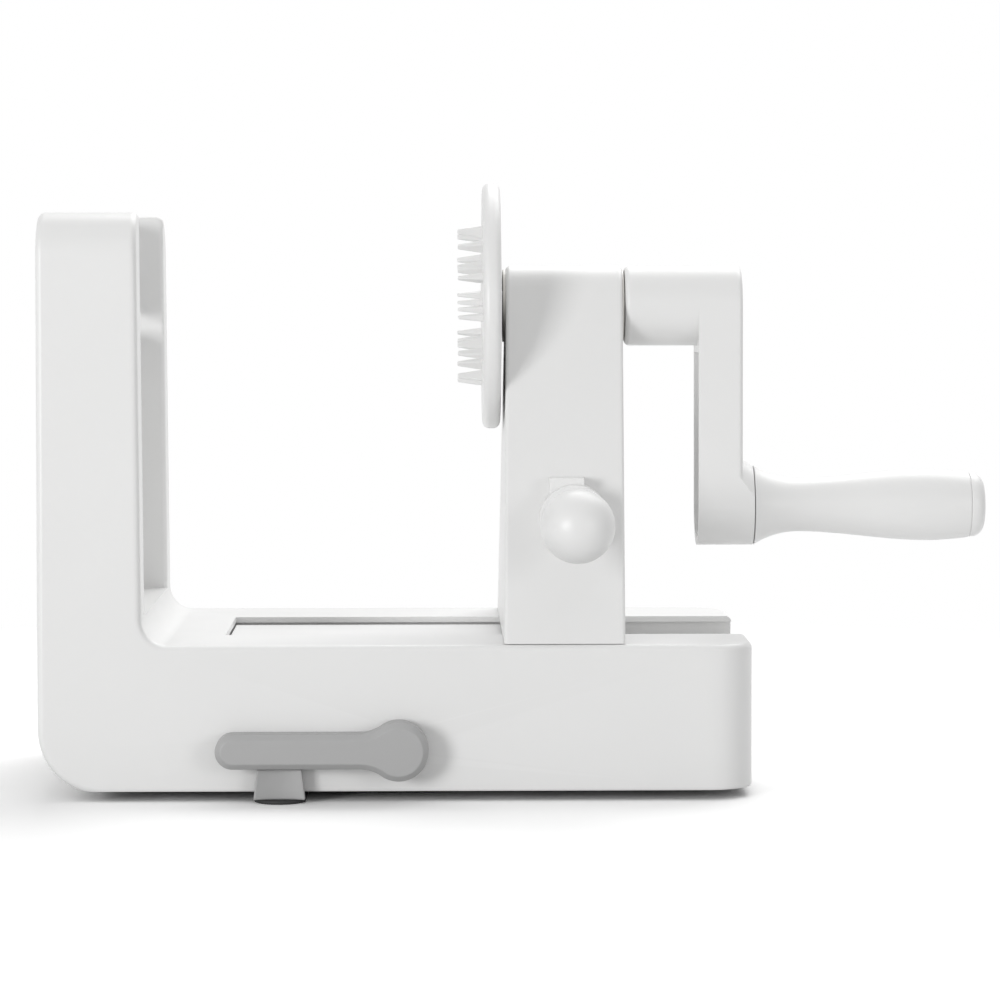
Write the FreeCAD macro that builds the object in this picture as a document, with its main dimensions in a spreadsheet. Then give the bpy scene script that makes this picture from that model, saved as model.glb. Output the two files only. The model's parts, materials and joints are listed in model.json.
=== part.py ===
"""Hand-cranked spiral slicer, in millimetres.

+X points from the blade end to the crank, +Y away from the suction lever, +Z up. The origin is the centre of the
base on the table.
"""

import FreeCAD, Part
import math
import os

V = FreeCAD.Vector
NEAR = 0.01

SIZES = {
    "housing": {
        "base_length": 230.2,
        "base_width": 138.0,
        "foot_gap": 3.2,
        "deck_height": 50.0,
        "wall": 2.6,
        "edge_round": 2.2,
        "end_corner_radius": 15.0,
        "toe_radius": 21.0,
        "upright_thick": 32.1,
        "upright_draft": 1.3,
        "upright_height": 188.8,
        "arm_width": 16.0,
        "arm_top_radius": 14.0,
        "arm_edge_round": 1.4,
        "window_floor": 58.5,
        "crook_radius": 8.4,
        "guide_groove_depth": 3.0,
        "guide_groove_width": 4.4,
        "guide_groove_offset": 14.2,
        "housing_boss_radius": 4.0,
        "boss_from_side": 8.6,
        "boss_from_end": 16.0,
        "boss_from_crook": 11.0,
        "middle_boss_at": 34.0,
    },
    "track": {
        "slot_width": 64.0,
        "slot_start": 56.7,
        "lip_thick": 1.9,
        "lip_reach": 4.3,
        "channel_floor": 41.5,
        "channel_wall": 2.0,
        "bed_width": 57.8,
        "bed_drop": 2.4,
        "bed_end_gap": 0.3,
        "bed_length": 117.9,
        "bed_wall": 2.4,
        "bed_boss_radius": 3.6,
        "bed_screw_margin": 10.0,
    },
    "cover_and_feet": {
        "cover_height": 5.6,
        "cover_thick": 2.2,
        "cover_gap": 0.3,
        "cup_passage_radius": 9.0,
        "foot_radius": 8.0,
        "foot_from_end": 28.0,
        "foot_from_cover_edge": 11.0,
        "foot_from_side": 34.0,
        "foot_plug_radius": 3.0,
    },
    "suction": {
        "cup_radius": 50.0,
        "cup_rim_thick": 1.2,
        "cup_rim_width": 4.0,
        "cup_top": 5.0,
        "cup_boss_radius": 8.2,
        "cup_boss_height": 9.4,
        "cup_socket_floor": 4.2,
        "tongue_at": 37.4,
        "tongue_width": 16.6,
        "tongue_reach": 8.0,
        "tab_height": 11.1,
        "tab_thick": 3.2,
        "tab_taper": 1.2,
        "tab_dish": 1.4,
        "tab_from_wall": 3.0,
        "lift": 4.0,
        "stem_radius": 5.0,
        "yoke_width": 16.0,
        "yoke_depth": 12.6,
        "yoke_floor": 10.8,
        "yoke_top": 25.0,
        "yoke_play": 0.5,
        "pilot_radius": 3.6,
        "pilot_length": 4.0,
        "spring_wire": 0.9,
        "spring_radius": 4.9,
        "spring_turns": 5,
    },
    "lever": {
        "lever_axis_at": 0.7,
        "lever_axis_height": 17.1,
        "lever_hub_radius": 9.55,
        "lever_length": 58.5,
        "lever_bar_height": 11.2,
        "lever_thick": 11.0,
        "lever_gap": 0.5,
        "lever_neck_round": 12.0,
        "lever_edge_round": 2.0,
        "cam_shaft_radius": 4.0,
        "cam_pin_radius": 1.8,
        "cam_shaft_seat": 7.0,
        "wall_bush_radius": 6.0,
        "wall_bush_length": 7.0,
        "post_thick": 4.0,
        "post_gap": 2.4,
        "post_width": 14.0,
        "guide_plate_thick": 2.2,
        "guide_plate_length": 40.0,
        "clip_thick": 1.0,
        "clip_radius": 6.0,
    },
    "carriage": {
        "tower_start": 36.1,
        "tower_thick": 39.0,
        "tower_lean": 1.6,
        "foot_width": 134.0,
        "axis_height": 158.0,
        "tower_top_radius": 13.4,
        "tower_wall": 2.4,
        "tower_edge_round": 1.3,
        "deck_gap": 0.2,
        "bearing_tube_radius": 10.6,
        "shoe_thick": 3.0,
        "shoe_rise": 0.7,
        "shoe_inset": 0.2,
        "hook_play": 0.3,
        "hook_leg": 2.5,
        "hook_depth": 6.0,
        "hook_foot_thick": 3.6,
        "shoe_screw_at": 20.0,
        "shoe_post_height": 16.0,
        "pad_length": 12.0,
        "pad_width": 14.0,
        "pad_thick": 1.8,
        "pad_gap": 0.05,
    },
    "bushes": {
        "bush_radius": 8.2,
        "bush_length": 14.0,
        "bush_flange_radius": 12.25,
        "front_flange_thick": 1.0,
        "rear_flange_thick": 0.7,
    },
    "push_knob": {
        "knob_at": 57.6,
        "knob_height": 89.1,
        "knob_reach": 84.0,
        "knob_radius": 11.8,
        "socket_radius": 11.4,
        "socket_face": 56.0,
        "socket_tab_width": 11.2,
        "socket_tab_shift": 2.3,
        "socket_tab_rise": 13.5,
        "socket_tab_face": 51.0,
        "knob_stem_radius": 5.2,
        "knob_stem_grip": 10.5,
        "knob_boss_radius": 6.0,
        "knob_boss_length": 3.0,
    },
    "crank": {
        "shaft_radius": 5.0,
        "running_gap": 0.3,
        "holder_radius": 41.3,
        "holder_thick": 6.5,
        "holder_rim_round": 2.4,
        "holder_sink_depth": 1.6,
        "holder_web": 1.4,
        "holder_head_radius": 6.8,
        "holder_head_height": 1.5,
        "tooth_length": 8.3,
        "tooth_root": 4.0,
        "tooth_point": 1.5,
        "tooth_root_thick": 2.6,
        "tooth_point_thick": 0.7,
        "outer_ring_radius": 25.2,
        "outer_ring_count": 12,
        "outer_ring_turn": 8.0,
        "inner_ring_radius": 14.5,
        "inner_ring_count": 6,
        "inner_ring_turn": 4.0,
        "crank_hub_radius": 13.4,
        "crank_hub_length": 39.4,
        "arm_thick": 14.8,
        "crank_throw": 67.4,
        "arm_shell": 2.3,
        "crank_edge_round": 1.8,
        "flare_length": 4.0,
        "flare_radius": 17.2,
        "hub_cap_radius": 6.2,
        "hub_cap_thick": 2.4,
        "screw_web": 3.6,
    },
    "grip": {
        "grip_length": 73.1,
        "grip_start_radius": 13.4,
        "grip_waist_radius": 8.9,
        "grip_waist_at": 15.0,
        "grip_belly_radius": 12.0,
        "grip_belly_at": 58.5,
        "grip_seam_radius": 10.9,
        "grip_cap_length": 4.9,
        "grip_cap_round": 4.2,
        "cap_plug_length": 3.0,
        "grip_well_radius": 8.2,
        "grip_well_depth": 8.0,
        "axle_radius": 4.0,
    },
    "blade_cartridge": {
        "cartridge_thick": 4.0,
        "cartridge_gap": 0.3,
        "cartridge_margin": 1.8,
        "noodle_slot_start": 6.0,
        "noodle_slot_length": 42.0,
        "noodle_slot_height": 9.0,
        "blade_height": 9.0,
        "blade_thick": 0.8,
        "blade_tilt": 32.0,
        "comb_count": 8,
        "comb_thick": 0.5,
        "comb_height": 4.0,
        "comb_reach": 4.0,
        "coring_radius": 6.0,
        "coring_wall": 0.8,
        "coring_length": 12.0,
    },
    "fits_and_screws": {
        "running_fit": 0.06,
        "press_fit": 0.01,
        "small_screw_radius": 1.5,
        "small_head_radius": 3.0,
        "small_head_height": 1.8,
        "small_screw_length": 12.0,
        "short_screw_length": 4.0,
        "crank_screw_radius": 2.5,
        "crank_head_radius": 4.6,
        "crank_head_height": 2.8,
        "crank_screw_length": 16.0,
    },
}


# A size knows its number and the sheet formula that the document binds


class Size:
    """A length or count with the formula that gives it."""

    def __init__(self, formula, number):
        self.formula = formula
        self.number = float(number)

    @staticmethod
    def of(value):
        return value if isinstance(value, Size) else Size(repr(float(value)), value)

    def __float__(self):
        return self.number

    def __add__(self, other):
        other = Size.of(other)
        return Size(f"({self.formula} + {other.formula})", self.number + other.number)

    def __sub__(self, other):
        other = Size.of(other)
        return Size(f"({self.formula} - {other.formula})", self.number - other.number)

    def __mul__(self, other):
        other = Size.of(other)
        return Size(f"({self.formula} * {other.formula})", self.number * other.number)

    def __truediv__(self, other):
        other = Size.of(other)
        return Size(f"({self.formula} / {other.formula})", self.number / other.number)

    def __radd__(self, other):
        return Size.of(other) + self

    def __rsub__(self, other):
        return Size.of(other) - self

    def __rmul__(self, other):
        return Size.of(other) * self

    def __neg__(self):
        return Size(f"(0 - {self.formula})", -self.number)


def root(value):
    """The square root of a size."""
    return Size(f"sqrt({value.formula})", math.sqrt(value.number))


class Sheet:
    """The driving sizes, each an attribute bound to its cell."""

    def __init__(self, document):
        cells = document.addObject("Spreadsheet::Sheet", "Sizes")
        row = 1
        for group, values in SIZES.items():
            cells.set(f"A{row}", group)
            row += 1
            for name, value in values.items():
                cells.set(f"A{row}", name)
                cells.set(f"B{row}", str(value))
                cells.setAlias(f"B{row}", name)
                setattr(self, name, Size(f"Sizes.{name}", value))
                row += 1


doc = FreeCAD.newDocument("SpiralSlicer")
s = Sheet(doc)
doc.recompute()

# Tools for making pieces

AXES = {
    "x": FreeCAD.Rotation(V(0, 1, 0), 90),
    "y": FreeCAD.Rotation(V(1, 0, 0), -90),
    "z": FreeCAD.Rotation(),
}
TURNED = {
    ("x", 1): FreeCAD.Rotation(),
    ("x", -1): FreeCAD.Rotation(V(0, 0, 1), 180),
    ("y", 1): FreeCAD.Rotation(V(0, 0, 1), 90),
    ("y", -1): FreeCAD.Rotation(V(0, 0, 1), -90),
    ("z", 1): FreeCAD.Rotation(V(0, 1, 0), -90),
    ("z", -1): FreeCAD.Rotation(V(0, 1, 0), 90),
}
PLANES = {"XY": "XY_Plane", "XZ": "XZ_Plane", "YZ": "YZ_Plane"}
finished = {}


def bind(item, prop, size):
    """Ties one property to its formula."""
    item.setExpression(prop, Size.of(size).formula)


def put(item, x, y, z, rotation=None):
    """Places an item, each coordinate tied to its formula."""
    spot = V(float(x), float(y), float(z))
    item.Placement = FreeCAD.Placement(spot, rotation or FreeCAD.Rotation())
    bind(item, "Placement.Base.x", x)
    bind(item, "Placement.Base.y", y)
    bind(item, "Placement.Base.z", z)


def along(axis, start, at):
    """The point whose own-axis coordinate is start and whose other two, in order, are at."""
    others = list(at)
    others.insert("xyz".index(axis), start)
    return others


def box(name, x, y, z):
    """A block between a low and a high value on each axis."""
    item = doc.addObject("Part::Box", name)
    for prop, (low, high) in zip(("Length", "Width", "Height"), (x, y, z)):
        bind(item, prop, Size.of(high) - low)
    put(item, x[0], y[0], z[0])
    return item


def rod(name, axis, radius, low, high, at):
    """A cylinder along an axis from low to high."""
    item = doc.addObject("Part::Cylinder", name)
    bind(item, "Radius", radius)
    bind(item, "Height", Size.of(high) - low)
    put(item, *along(axis, low, at), AXES[axis])
    return item


def fuse(name, *shapes):
    """One item from several."""
    item = doc.addObject("Part::MultiFuse", name)
    item.Shapes = list(shapes)
    item.Refine = True
    return item


def cut(name, base, *tools):
    """The base with every tool taken out of it."""
    item = doc.addObject("Part::Cut", name)
    item.Base = base
    item.Tool = tools[0] if len(tools) == 1 else fuse(name + "_tools", *tools)
    item.Refine = True
    return item


def common(name, first, second):
    """What two items share."""
    item = doc.addObject("Part::Common", name)
    item.Base = first
    item.Tool = second
    item.Refine = True
    return item


def group(name, parts):
    """Separate solids kept together."""
    item = doc.addObject("Part::Compound", name)
    item.Links = parts
    return item


def is_sharp(shape, edge):
    """Whether the two faces beside an edge meet at an angle."""
    middle = edge.valueAt((edge.FirstParameter + edge.LastParameter) / 2)
    normals = []
    for face in shape.ancestorsOfType(edge, Part.Face):
        normals.append(face.normalAt(*face.Surface.parameter(middle)))
    return len(normals) == 2 and normals[0].getAngle(normals[1]) > math.radians(8)


def rounded(name, base, radius, wanted):
    """The base with each sharp edge that wanted picks rounded."""
    doc.recompute()
    shape = base.Shape
    picked = [number for number, edge in enumerate(shape.Edges, 1) if wanted(edge) and is_sharp(shape, edge)]
    if not picked:
        raise RuntimeError(name + " has no edge to round")
    item = doc.addObject("Part::Fillet", name)
    item.Base = base
    item.Edges = [(number, float(radius), float(radius)) for number in picked]
    return item


def lies(edge, **levels):
    """Whether the whole edge keeps to the given coordinates."""
    reach = edge.BoundBox
    spans = {"x": (reach.XMin, reach.XMax), "y": (reach.YMin, reach.YMax), "z": (reach.ZMin, reach.ZMax)}
    return all(
        abs(spans[axis][0] - float(level)) < NEAR and abs(spans[axis][1] - float(level)) < NEAR
        for axis, level in levels.items()
    )


def runs(edge, axis):
    """Whether the edge is straight and parallel to an axis."""
    if edge.Curve.TypeId != "Part::GeomLine":
        return False
    spans = {"x": edge.BoundBox.XLength, "y": edge.BoundBox.YLength, "z": edge.BoundBox.ZLength}
    return abs(spans[axis] - edge.Length) < NEAR


def keep(name, item):
    """Records a finished piece under its own name."""
    item.Label = name
    finished[name] = item
    return item


def corner_points(before, corner, after, radius):
    """Where a round of this radius meets the two sides of a corner."""
    ends = []
    sides = []
    for other in (before, after):
        du = Size.of(other[0]) - corner[0]
        dv = Size.of(other[1]) - corner[1]
        if abs(dv.number) < NEAR:
            sides.append((Size.of(math.copysign(1, du.number)), Size.of(0)))
        elif abs(du.number) < NEAR:
            sides.append((Size.of(0), Size.of(math.copysign(1, dv.number))))
        else:
            length = root(du * du + dv * dv)
            sides.append((du / length, dv / length))
    (au, av), (bu, bv) = sides
    square = abs(au.number * bu.number + av.number * bv.number) < 1e-9
    cosine = au * bu + av * bv
    reach = radius if square else radius * root((1 + cosine) / (1 - cosine))
    for u, v in sides:
        ends.append((corner[0] + u * reach, corner[1] + v * reach))
    return ends


def outline_edges(corners):
    """Lines and arcs round an outline, as (start, end, radius); a radius above 0 turns left."""
    count = len(corners)
    starts = []
    for index, corner in enumerate(corners):
        before, after = corners[index - 1], corners[(index + 1) % count]
        rounding = corner[2] if len(corner) == 3 else None
        if rounding is None:
            starts.append((corner[:2], corner[:2], None))
            continue
        first, last = corner_points(before, corner, after, rounding)
        turn = (float(corner[0]) - float(before[0])) * (float(after[1]) - float(corner[1]))
        turn -= (float(corner[1]) - float(before[1])) * (float(after[0]) - float(corner[0]))
        starts.append((first, last, rounding if turn > 0 else -Size.of(rounding)))
    edges = []
    for index, (first, last, rounding) in enumerate(starts):
        if rounding is not None:
            edges.append((first, last, rounding))
        following = starts[(index + 1) % count][0]
        bulge = corners[index][3] if len(corners[index]) == 4 else None
        edges.append((last, following, bulge))
    return edges


def arc_between(start, end, radius):
    """The counter-clockwise arc of this radius, and whether it runs from start to end."""
    (u0, v0), (u1, v1) = [(float(u), float(v)) for u, v in (start, end)]
    forward = float(radius) > 0
    if not forward:
        (u0, v0), (u1, v1) = (u1, v1), (u0, v0)
    size = abs(float(radius))
    chord = math.hypot(u1 - u0, v1 - v0)
    rise = math.sqrt(max(size * size - chord * chord / 4, 0))
    cu = (u0 + u1) / 2 - (v1 - v0) / chord * rise
    cv = (v0 + v1) / 2 + (u1 - u0) / chord * rise
    first = math.atan2(v0 - cv, u0 - cu)
    last = math.atan2(v1 - cv, u1 - cu)
    if last < first:
        last += 2 * math.pi
    return Part.ArcOfCircle(Part.Circle(V(cu, cv, 0), V(0, 0, 1), size), first, last), forward


def draw(sketch, corners):
    """Draws a closed outline with every corner and radius tied to its formula.

    A corner is (u, v), (u, v, rounding radius), or (u, v, None, radius) where an arc leaves it.
    """
    import Sketcher

    pieces = []
    for start, end, radius in outline_edges(corners):
        if radius is None:
            line = Part.LineSegment(V(float(start[0]), float(start[1]), 0), V(float(end[0]), float(end[1]), 0))
            pieces.append((sketch.addGeometry(line, False), 1, 2, start, None))
        else:
            arc, forward = arc_between(start, end, radius)
            tips = (1, 2) if forward else (2, 1)
            pieces.append((sketch.addGeometry(arc, False), *tips, start, radius))
    for index, (piece, head, tail, start, radius) in enumerate(pieces):
        follower = pieces[(index + 1) % len(pieces)]
        sketch.addConstraint(Sketcher.Constraint("Coincident", piece, tail, follower[0], follower[1]))
        for kind, coordinate in (("DistanceX", start[0]), ("DistanceY", start[1])):
            rule = Sketcher.Constraint(kind, -1, 1, piece, head, float(coordinate))
            number = sketch.addConstraint(rule)
            bind(sketch, f"Constraints[{number}]", coordinate)
        if radius is not None:
            size = radius if float(radius) > 0 else -Size.of(radius)
            number = sketch.addConstraint(Sketcher.Constraint("Radius", piece, float(size)))
            bind(sketch, f"Constraints[{number}]", size)


def new_sketch(body, name, plane):
    """A sketch on one of the body's own origin planes."""
    sketch = body.newObject("Sketcher::SketchObject", name)
    flat = [item for item in body.Origin.OriginFeatures if item.Role == PLANES[plane]][0]
    sketch.AttachmentSupport = [(flat, "")]
    sketch.MapMode = "FlatFace"
    return sketch


def plate(name, plane, corners, low, high):
    """An outline on one plane, padded from low to high along its normal axis."""
    body = doc.addObject("PartDesign::Body", name)
    sketch = new_sketch(body, name + "_outline", plane)
    draw(sketch, corners)
    bind(sketch, "AttachmentOffset.Base.z", -Size.of(high) if plane == "XZ" else low)
    pad = body.newObject("PartDesign::Pad", name + "_pad")
    pad.Profile = sketch
    bind(pad, "Length", Size.of(high) - low)
    return body


def turned(name, axis, sense, start, at, corners):
    """A piece turned about an axis; each corner is (distance from start, radius)."""
    body = doc.addObject("PartDesign::Body", name)
    sketch = new_sketch(body, name + "_outline", "XY")
    draw(sketch, corners)
    spin = body.newObject("PartDesign::Revolution", name + "_turn")
    spin.Profile = sketch
    spin.ReferenceAxis = (sketch, ["H_Axis"])
    spin.Angle = 360
    put(body, *along(axis, start, at), TURNED[axis, sense])
    return body


def screw(name, axis, sense, seat, at, radius, length, head_radius, head_height):
    """A round-headed screw whose head stands on the seat and whose shank runs on along sense."""
    recess = head_height / 2
    return turned(
        name, axis, sense, seat, at,
        [
            (-recess, 0), (-recess, head_radius / 2), (-head_height, head_radius / 2), (-head_height, head_radius),
            (0, head_radius), (0, radius), (length, radius), (length, 0),
        ],
    )


# Places that several pieces share

half_length = s.base_length / 2
half_width = s.base_width / 2
upright_face = s.upright_thick - half_length
arm_inner = half_width - s.arm_width
slot_half = s.slot_width / 2
slot_left = -s.slot_start
channel_half = slot_half + s.lip_reach
channel_left = slot_left - s.lip_reach / 2
lip_under = s.deck_height - s.lip_thick
bed_half = s.bed_width / 2
bed_left = slot_left + s.bed_end_gap
bed_top = s.deck_height - s.bed_drop
cover_top = s.cover_height + s.cover_thick
groove_left = s.guide_groove_offset - half_length
groove_right = groove_left + s.guide_groove_width
groove_wall = arm_inner + s.guide_groove_depth
tower_end = s.tower_start + s.tower_thick
tower_foot = s.deck_height + s.deck_gap
foot_half = s.foot_width / 2
tower_slope = (foot_half - s.tower_top_radius) / (s.axis_height - tower_foot)
tower_wall_across = s.tower_wall * root(1 + tower_slope * tower_slope)
knob_boss_face = (
    foot_half - tower_slope * (s.knob_height - tower_foot) - tower_wall_across - s.knob_boss_length
)
shoe_under = s.deck_height + s.shoe_rise
screw_holes = s.small_screw_radius + s.press_fit
cover_screw_spots = [
    (x, y)
    for x in (upright_face + s.boss_from_crook, s.middle_boss_at, half_length - s.boss_from_end)
    for y in (s.boss_from_side - half_width, half_width - s.boss_from_side)
]
bed_screw_spots = [
    bed_left + s.bed_screw_margin,
    bed_left + s.bed_length / 3,
    bed_left + s.bed_length - s.bed_screw_margin,
]


def housing_form():
    """The closed outer form of the housing with its rounded edges."""
    bottom = s.foot_gap - s.edge_round / 2
    solid = plate(
        "housing_form", "XZ",
        [
            (-half_length, bottom, s.toe_radius),
            (half_length, bottom),
            (half_length, s.deck_height),
            (upright_face + s.upright_draft, s.deck_height, s.crook_radius),
            (upright_face, s.upright_height),
            (-half_length, s.upright_height),
        ],
        -half_width, half_width,
    )
    solid = rounded("housing_ends", solid, s.end_corner_radius, lambda e: runs(e, "z") and lies(e, x=half_length))
    solid = rounded(
        "housing_tops", solid, s.arm_top_radius,
        lambda e: runs(e, "x") and lies(e, z=s.upright_height),
    )
    solid = rounded(
        "housing_edges", solid, s.edge_round, lambda e: lies(e, y=half_width) or lies(e, y=-half_width),
    )
    under = box(
        "housing_underside", (-s.base_length, s.base_length), (-s.base_width, s.base_width),
        (bottom - 1, s.foot_gap),
    )
    return cut("housing_trimmed", solid, under)


def housing_hollow():
    """The space inside the housing, without the window and the channel that pass through it."""
    inner_top = s.upright_height - s.wall
    mouth_left = s.toe_radius - half_length
    solid = plate(
        "hollow_form", "XZ",
        [
            (mouth_left, s.foot_gap - 1),
            (half_length - s.wall, s.foot_gap - 1),
            (half_length - s.wall, s.deck_height - s.wall),
            (upright_face + s.upright_draft - s.wall, s.deck_height - s.wall, s.crook_radius + s.wall),
            (upright_face - s.wall, inner_top),
            (s.wall - half_length, inner_top),
            (s.wall - half_length, s.foot_gap + s.toe_radius, None, s.toe_radius - s.wall),
            (mouth_left, s.foot_gap + s.wall),
        ],
        s.wall - half_width, half_width - s.wall,
    )
    solid = rounded(
        "hollow_ends", solid, s.end_corner_radius - s.wall,
        lambda e: runs(e, "z") and lies(e, x=half_length - s.wall),
    )
    solid = rounded(
        "hollow_tops", solid, s.arm_top_radius - s.wall,
        lambda e: runs(e, "x") and lies(e, z=inner_top),
    )
    window = box(
        "window_lining", (-s.base_length, upright_face + s.wall + s.upright_draft),
        (-groove_wall - s.wall, groove_wall + s.wall), (s.window_floor - s.wall, s.upright_height + s.wall),
    )
    channel = box(
        "channel_lining", (channel_left - s.channel_wall, s.base_length),
        (-channel_half - s.channel_wall, channel_half + s.channel_wall),
        (s.channel_floor - s.channel_wall, s.deck_height),
    )
    return cut("housing_hollow", solid, window, channel)


def body_shell():
    """The white housing: deck, slot, and two upright arms."""
    openings = [
        housing_hollow(),
        box(
            "window", (-s.base_length, upright_face + s.upright_draft + s.crook_radius), (-arm_inner, arm_inner),
            (s.window_floor, s.upright_height * 2),
        ),
        box("slot", (slot_left, s.base_length), (-slot_half, slot_half), (s.channel_floor, s.deck_height + 1)),
        box("channel", (channel_left, s.base_length), (-channel_half, channel_half), (s.channel_floor, lip_under)),
        box(
            "cartridge_grooves", (groove_left, groove_right), (-groove_wall, groove_wall),
            (s.window_floor, s.upright_height * 2),
        ),
        rod(
            "lever_hole", "y", s.wall_bush_radius + s.press_fit, -half_width - 1, 2 * s.wall - half_width,
            (s.lever_axis_at, s.lever_axis_height),
        ),
    ]
    shell = cut("shell_walls", housing_form(), *openings)
    bosses = [
        rod(f"housing_boss_{i}", "z", s.housing_boss_radius, cover_top, s.deck_height - s.wall / 2, spot)
        for i, spot in enumerate(cover_screw_spots)
    ]
    seat = rod(
        "spring_post", "z", s.pilot_radius, s.channel_floor - s.channel_wall - s.pilot_length,
        s.channel_floor - s.channel_wall / 2, (s.lever_axis_at, 0),
    )
    pilots = [
        rod(f"housing_pilot_{i}", "z", screw_holes, s.cover_height, cover_top + s.small_screw_length, spot)
        for i, spot in enumerate(cover_screw_spots)
    ]
    pilots += [
        rod(
            f"channel_hole_{i}", "z", screw_holes, s.channel_floor - 2 * s.channel_wall,
            s.channel_floor + s.channel_wall, (x, 0),
        )
        for i, x in enumerate(bed_screw_spots)
    ]
    shell = cut("shell_bosses", fuse("shell_full", shell, *bosses, seat), *pilots)
    shell = rounded(
        "body_shell_edges", shell, s.arm_edge_round,
        lambda e: e.BoundBox.XMin > float(upright_face) - NEAR and e.BoundBox.ZMin > float(s.window_floor) - NEAR
        and (lies(e, y=arm_inner) or lies(e, y=-arm_inner)),
    )
    return keep("body_shell", shell)


def track_bed():
    """The raised plate in the slot, hollow underneath with three screw bosses."""
    right = bed_left + s.bed_length
    plate_form = box("bed_form", (bed_left, right), (-bed_half, bed_half), (s.channel_floor, bed_top))
    under = box(
        "bed_under", (bed_left + s.bed_wall, right - s.bed_wall), (s.bed_wall - bed_half, bed_half - s.bed_wall),
        (s.channel_floor - 1, bed_top - s.bed_wall),
    )
    bosses = [
        rod(f"bed_boss_{i}", "z", s.bed_boss_radius, s.channel_floor, bed_top - s.bed_wall / 2, (x, 0))
        for i, x in enumerate(bed_screw_spots)
    ]
    pilots = [
        rod(f"bed_pilot_{i}", "z", screw_holes, s.channel_floor - 1, bed_top - s.bed_wall / 2, (x, 0))
        for i, x in enumerate(bed_screw_spots)
    ]
    hollow = fuse("bed_full", cut("bed_channel", plate_form, under), *bosses)
    keep("track_bed", cut("track_bed", hollow, *pilots))
    seat = s.channel_floor - s.channel_wall
    length = bed_top - s.bed_wall - seat
    screws = [
        screw(
            f"bed_screw_{i}", "z", 1, seat, (x, 0), s.small_screw_radius, length,
            s.small_head_radius, s.small_head_height,
        )
        for i, x in enumerate(bed_screw_spots)
    ]
    keep("bed_screws", group("bed_screws", screws))


def bottom_cover():
    """The dark plate that closes the underside, its screws and its feet."""
    gap = s.wall + s.cover_gap
    left = s.toe_radius - half_length + s.cover_gap
    corner = s.end_corner_radius - gap
    form = plate(
        "cover_form", "XY",
        [
            (left, gap - half_width),
            (half_length - gap, gap - half_width, corner),
            (half_length - gap, half_width - gap, corner),
            (left, half_width - gap),
        ],
        s.cover_height, cover_top,
    )
    feet = [
        (x, y)
        for x in (left + s.foot_from_cover_edge, half_length - s.foot_from_end)
        for y in (s.foot_from_side - half_width, half_width - s.foot_from_side)
    ]
    holes = [
        rod(f"cover_hole_{i}", "z", screw_holes, s.cover_height - 1, cover_top + 1, spot)
        for i, spot in enumerate(cover_screw_spots)
    ]
    holes += [
        rod(f"foot_hole_{i}", "z", s.foot_plug_radius + s.press_fit, s.cover_height - 1, cover_top + 1, spot)
        for i, spot in enumerate(feet)
    ]
    holes += [
        rod(f"guide_hole_{i}", "z", screw_holes, s.cover_height - 1, cover_top + 1, spot)
        for i, spot in enumerate(guide_screw_spots())
    ]
    holes.append(
        rod("cup_passage", "z", s.cup_passage_radius, s.cover_height - 1, cover_top + 1, (s.lever_axis_at, 0))
    )
    keep("bottom_cover", cut("bottom_cover", form, *holes))
    screws = [
        screw(
            f"cover_screw_{i}", "z", 1, s.cover_height, spot, s.small_screw_radius,
            s.small_screw_length, s.small_head_radius, s.small_head_height,
        )
        for i, spot in enumerate(cover_screw_spots)
    ]
    keep("cover_screws", group("cover_screws", screws))
    pads = [
        turned(
            f"foot_{i}", "z", 1, 0, spot,
            [
                (0, 0), (0, s.foot_radius, s.cup_rim_thick), (s.cover_height, s.foot_radius),
                (s.cover_height, s.foot_plug_radius), (cover_top, s.foot_plug_radius), (cover_top, 0),
            ],
        )
        for i, spot in enumerate(feet)
    ]
    keep("rubber_feet", group("rubber_feet", pads))


def guide_screw_spots():
    """The four corners where the guide plate is screwed to the cover."""
    across = s.guide_plate_length / 2 - s.small_head_radius - 1
    along_y = s.yoke_depth / 2 + s.post_gap - s.small_head_radius
    return [(s.lever_axis_at + sx * across, sy * along_y) for sx in (-1, 1) for sy in (-1, 1)]


def suction_cup():
    """The rubber cup with its tongue, and the grey finger tab on the tongue."""
    cup = turned(
        "cup_form", "z", 1, 0, (s.lever_axis_at, 0),
        [
            (0, s.cup_radius), (s.cup_rim_thick, s.cup_radius), (s.cup_top, s.cup_boss_radius * 2),
            (s.cup_top, s.cup_boss_radius), (s.cup_boss_height, s.cup_boss_radius),
            (s.cup_boss_height, s.stem_radius + s.running_fit), (s.cup_socket_floor, s.stem_radius + s.running_fit),
            (s.cup_socket_floor, 0), (0, 0),
        ],
    )
    middle = -s.tongue_at
    half = s.tongue_width / 2
    nose_at = half - half_width - s.tongue_reach
    strip = box("tongue_strip", (middle - half, middle + half), (nose_at, -s.cup_radius / 2), (0, s.cup_rim_thick))
    nose = rod("tongue_nose", "z", half, 0, s.cup_rim_thick, (middle, nose_at))
    inside = rod("cup_room", "z", s.cup_radius - s.cup_rim_width, -1, s.cup_rim_thick + 1, (s.lever_axis_at, 0))
    tongue = cut("tongue", fuse("tongue_full", strip, nose), inside)
    keep("suction_cup", fuse("suction_cup", cup, tongue))
    back = -half_width - s.tab_from_wall
    face = back - s.tab_thick
    tab = plate(
        "tab_form", "XZ",
        [
            (middle - half, s.cup_rim_thick),
            (middle + half, s.cup_rim_thick),
            (middle + half - s.tab_taper, s.tab_height),
            (middle - half + s.tab_taper, s.tab_height),
        ],
        face, back,
    )
    dish_radius = (half * half + s.tab_dish * s.tab_dish) / (2 * s.tab_dish)
    dish = rod(
        "tab_dish", "z", dish_radius, 0, s.tab_height + 1, (middle, face + s.tab_dish - dish_radius),
    )
    keep("release_tab", cut("release_tab", tab, dish))


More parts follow.
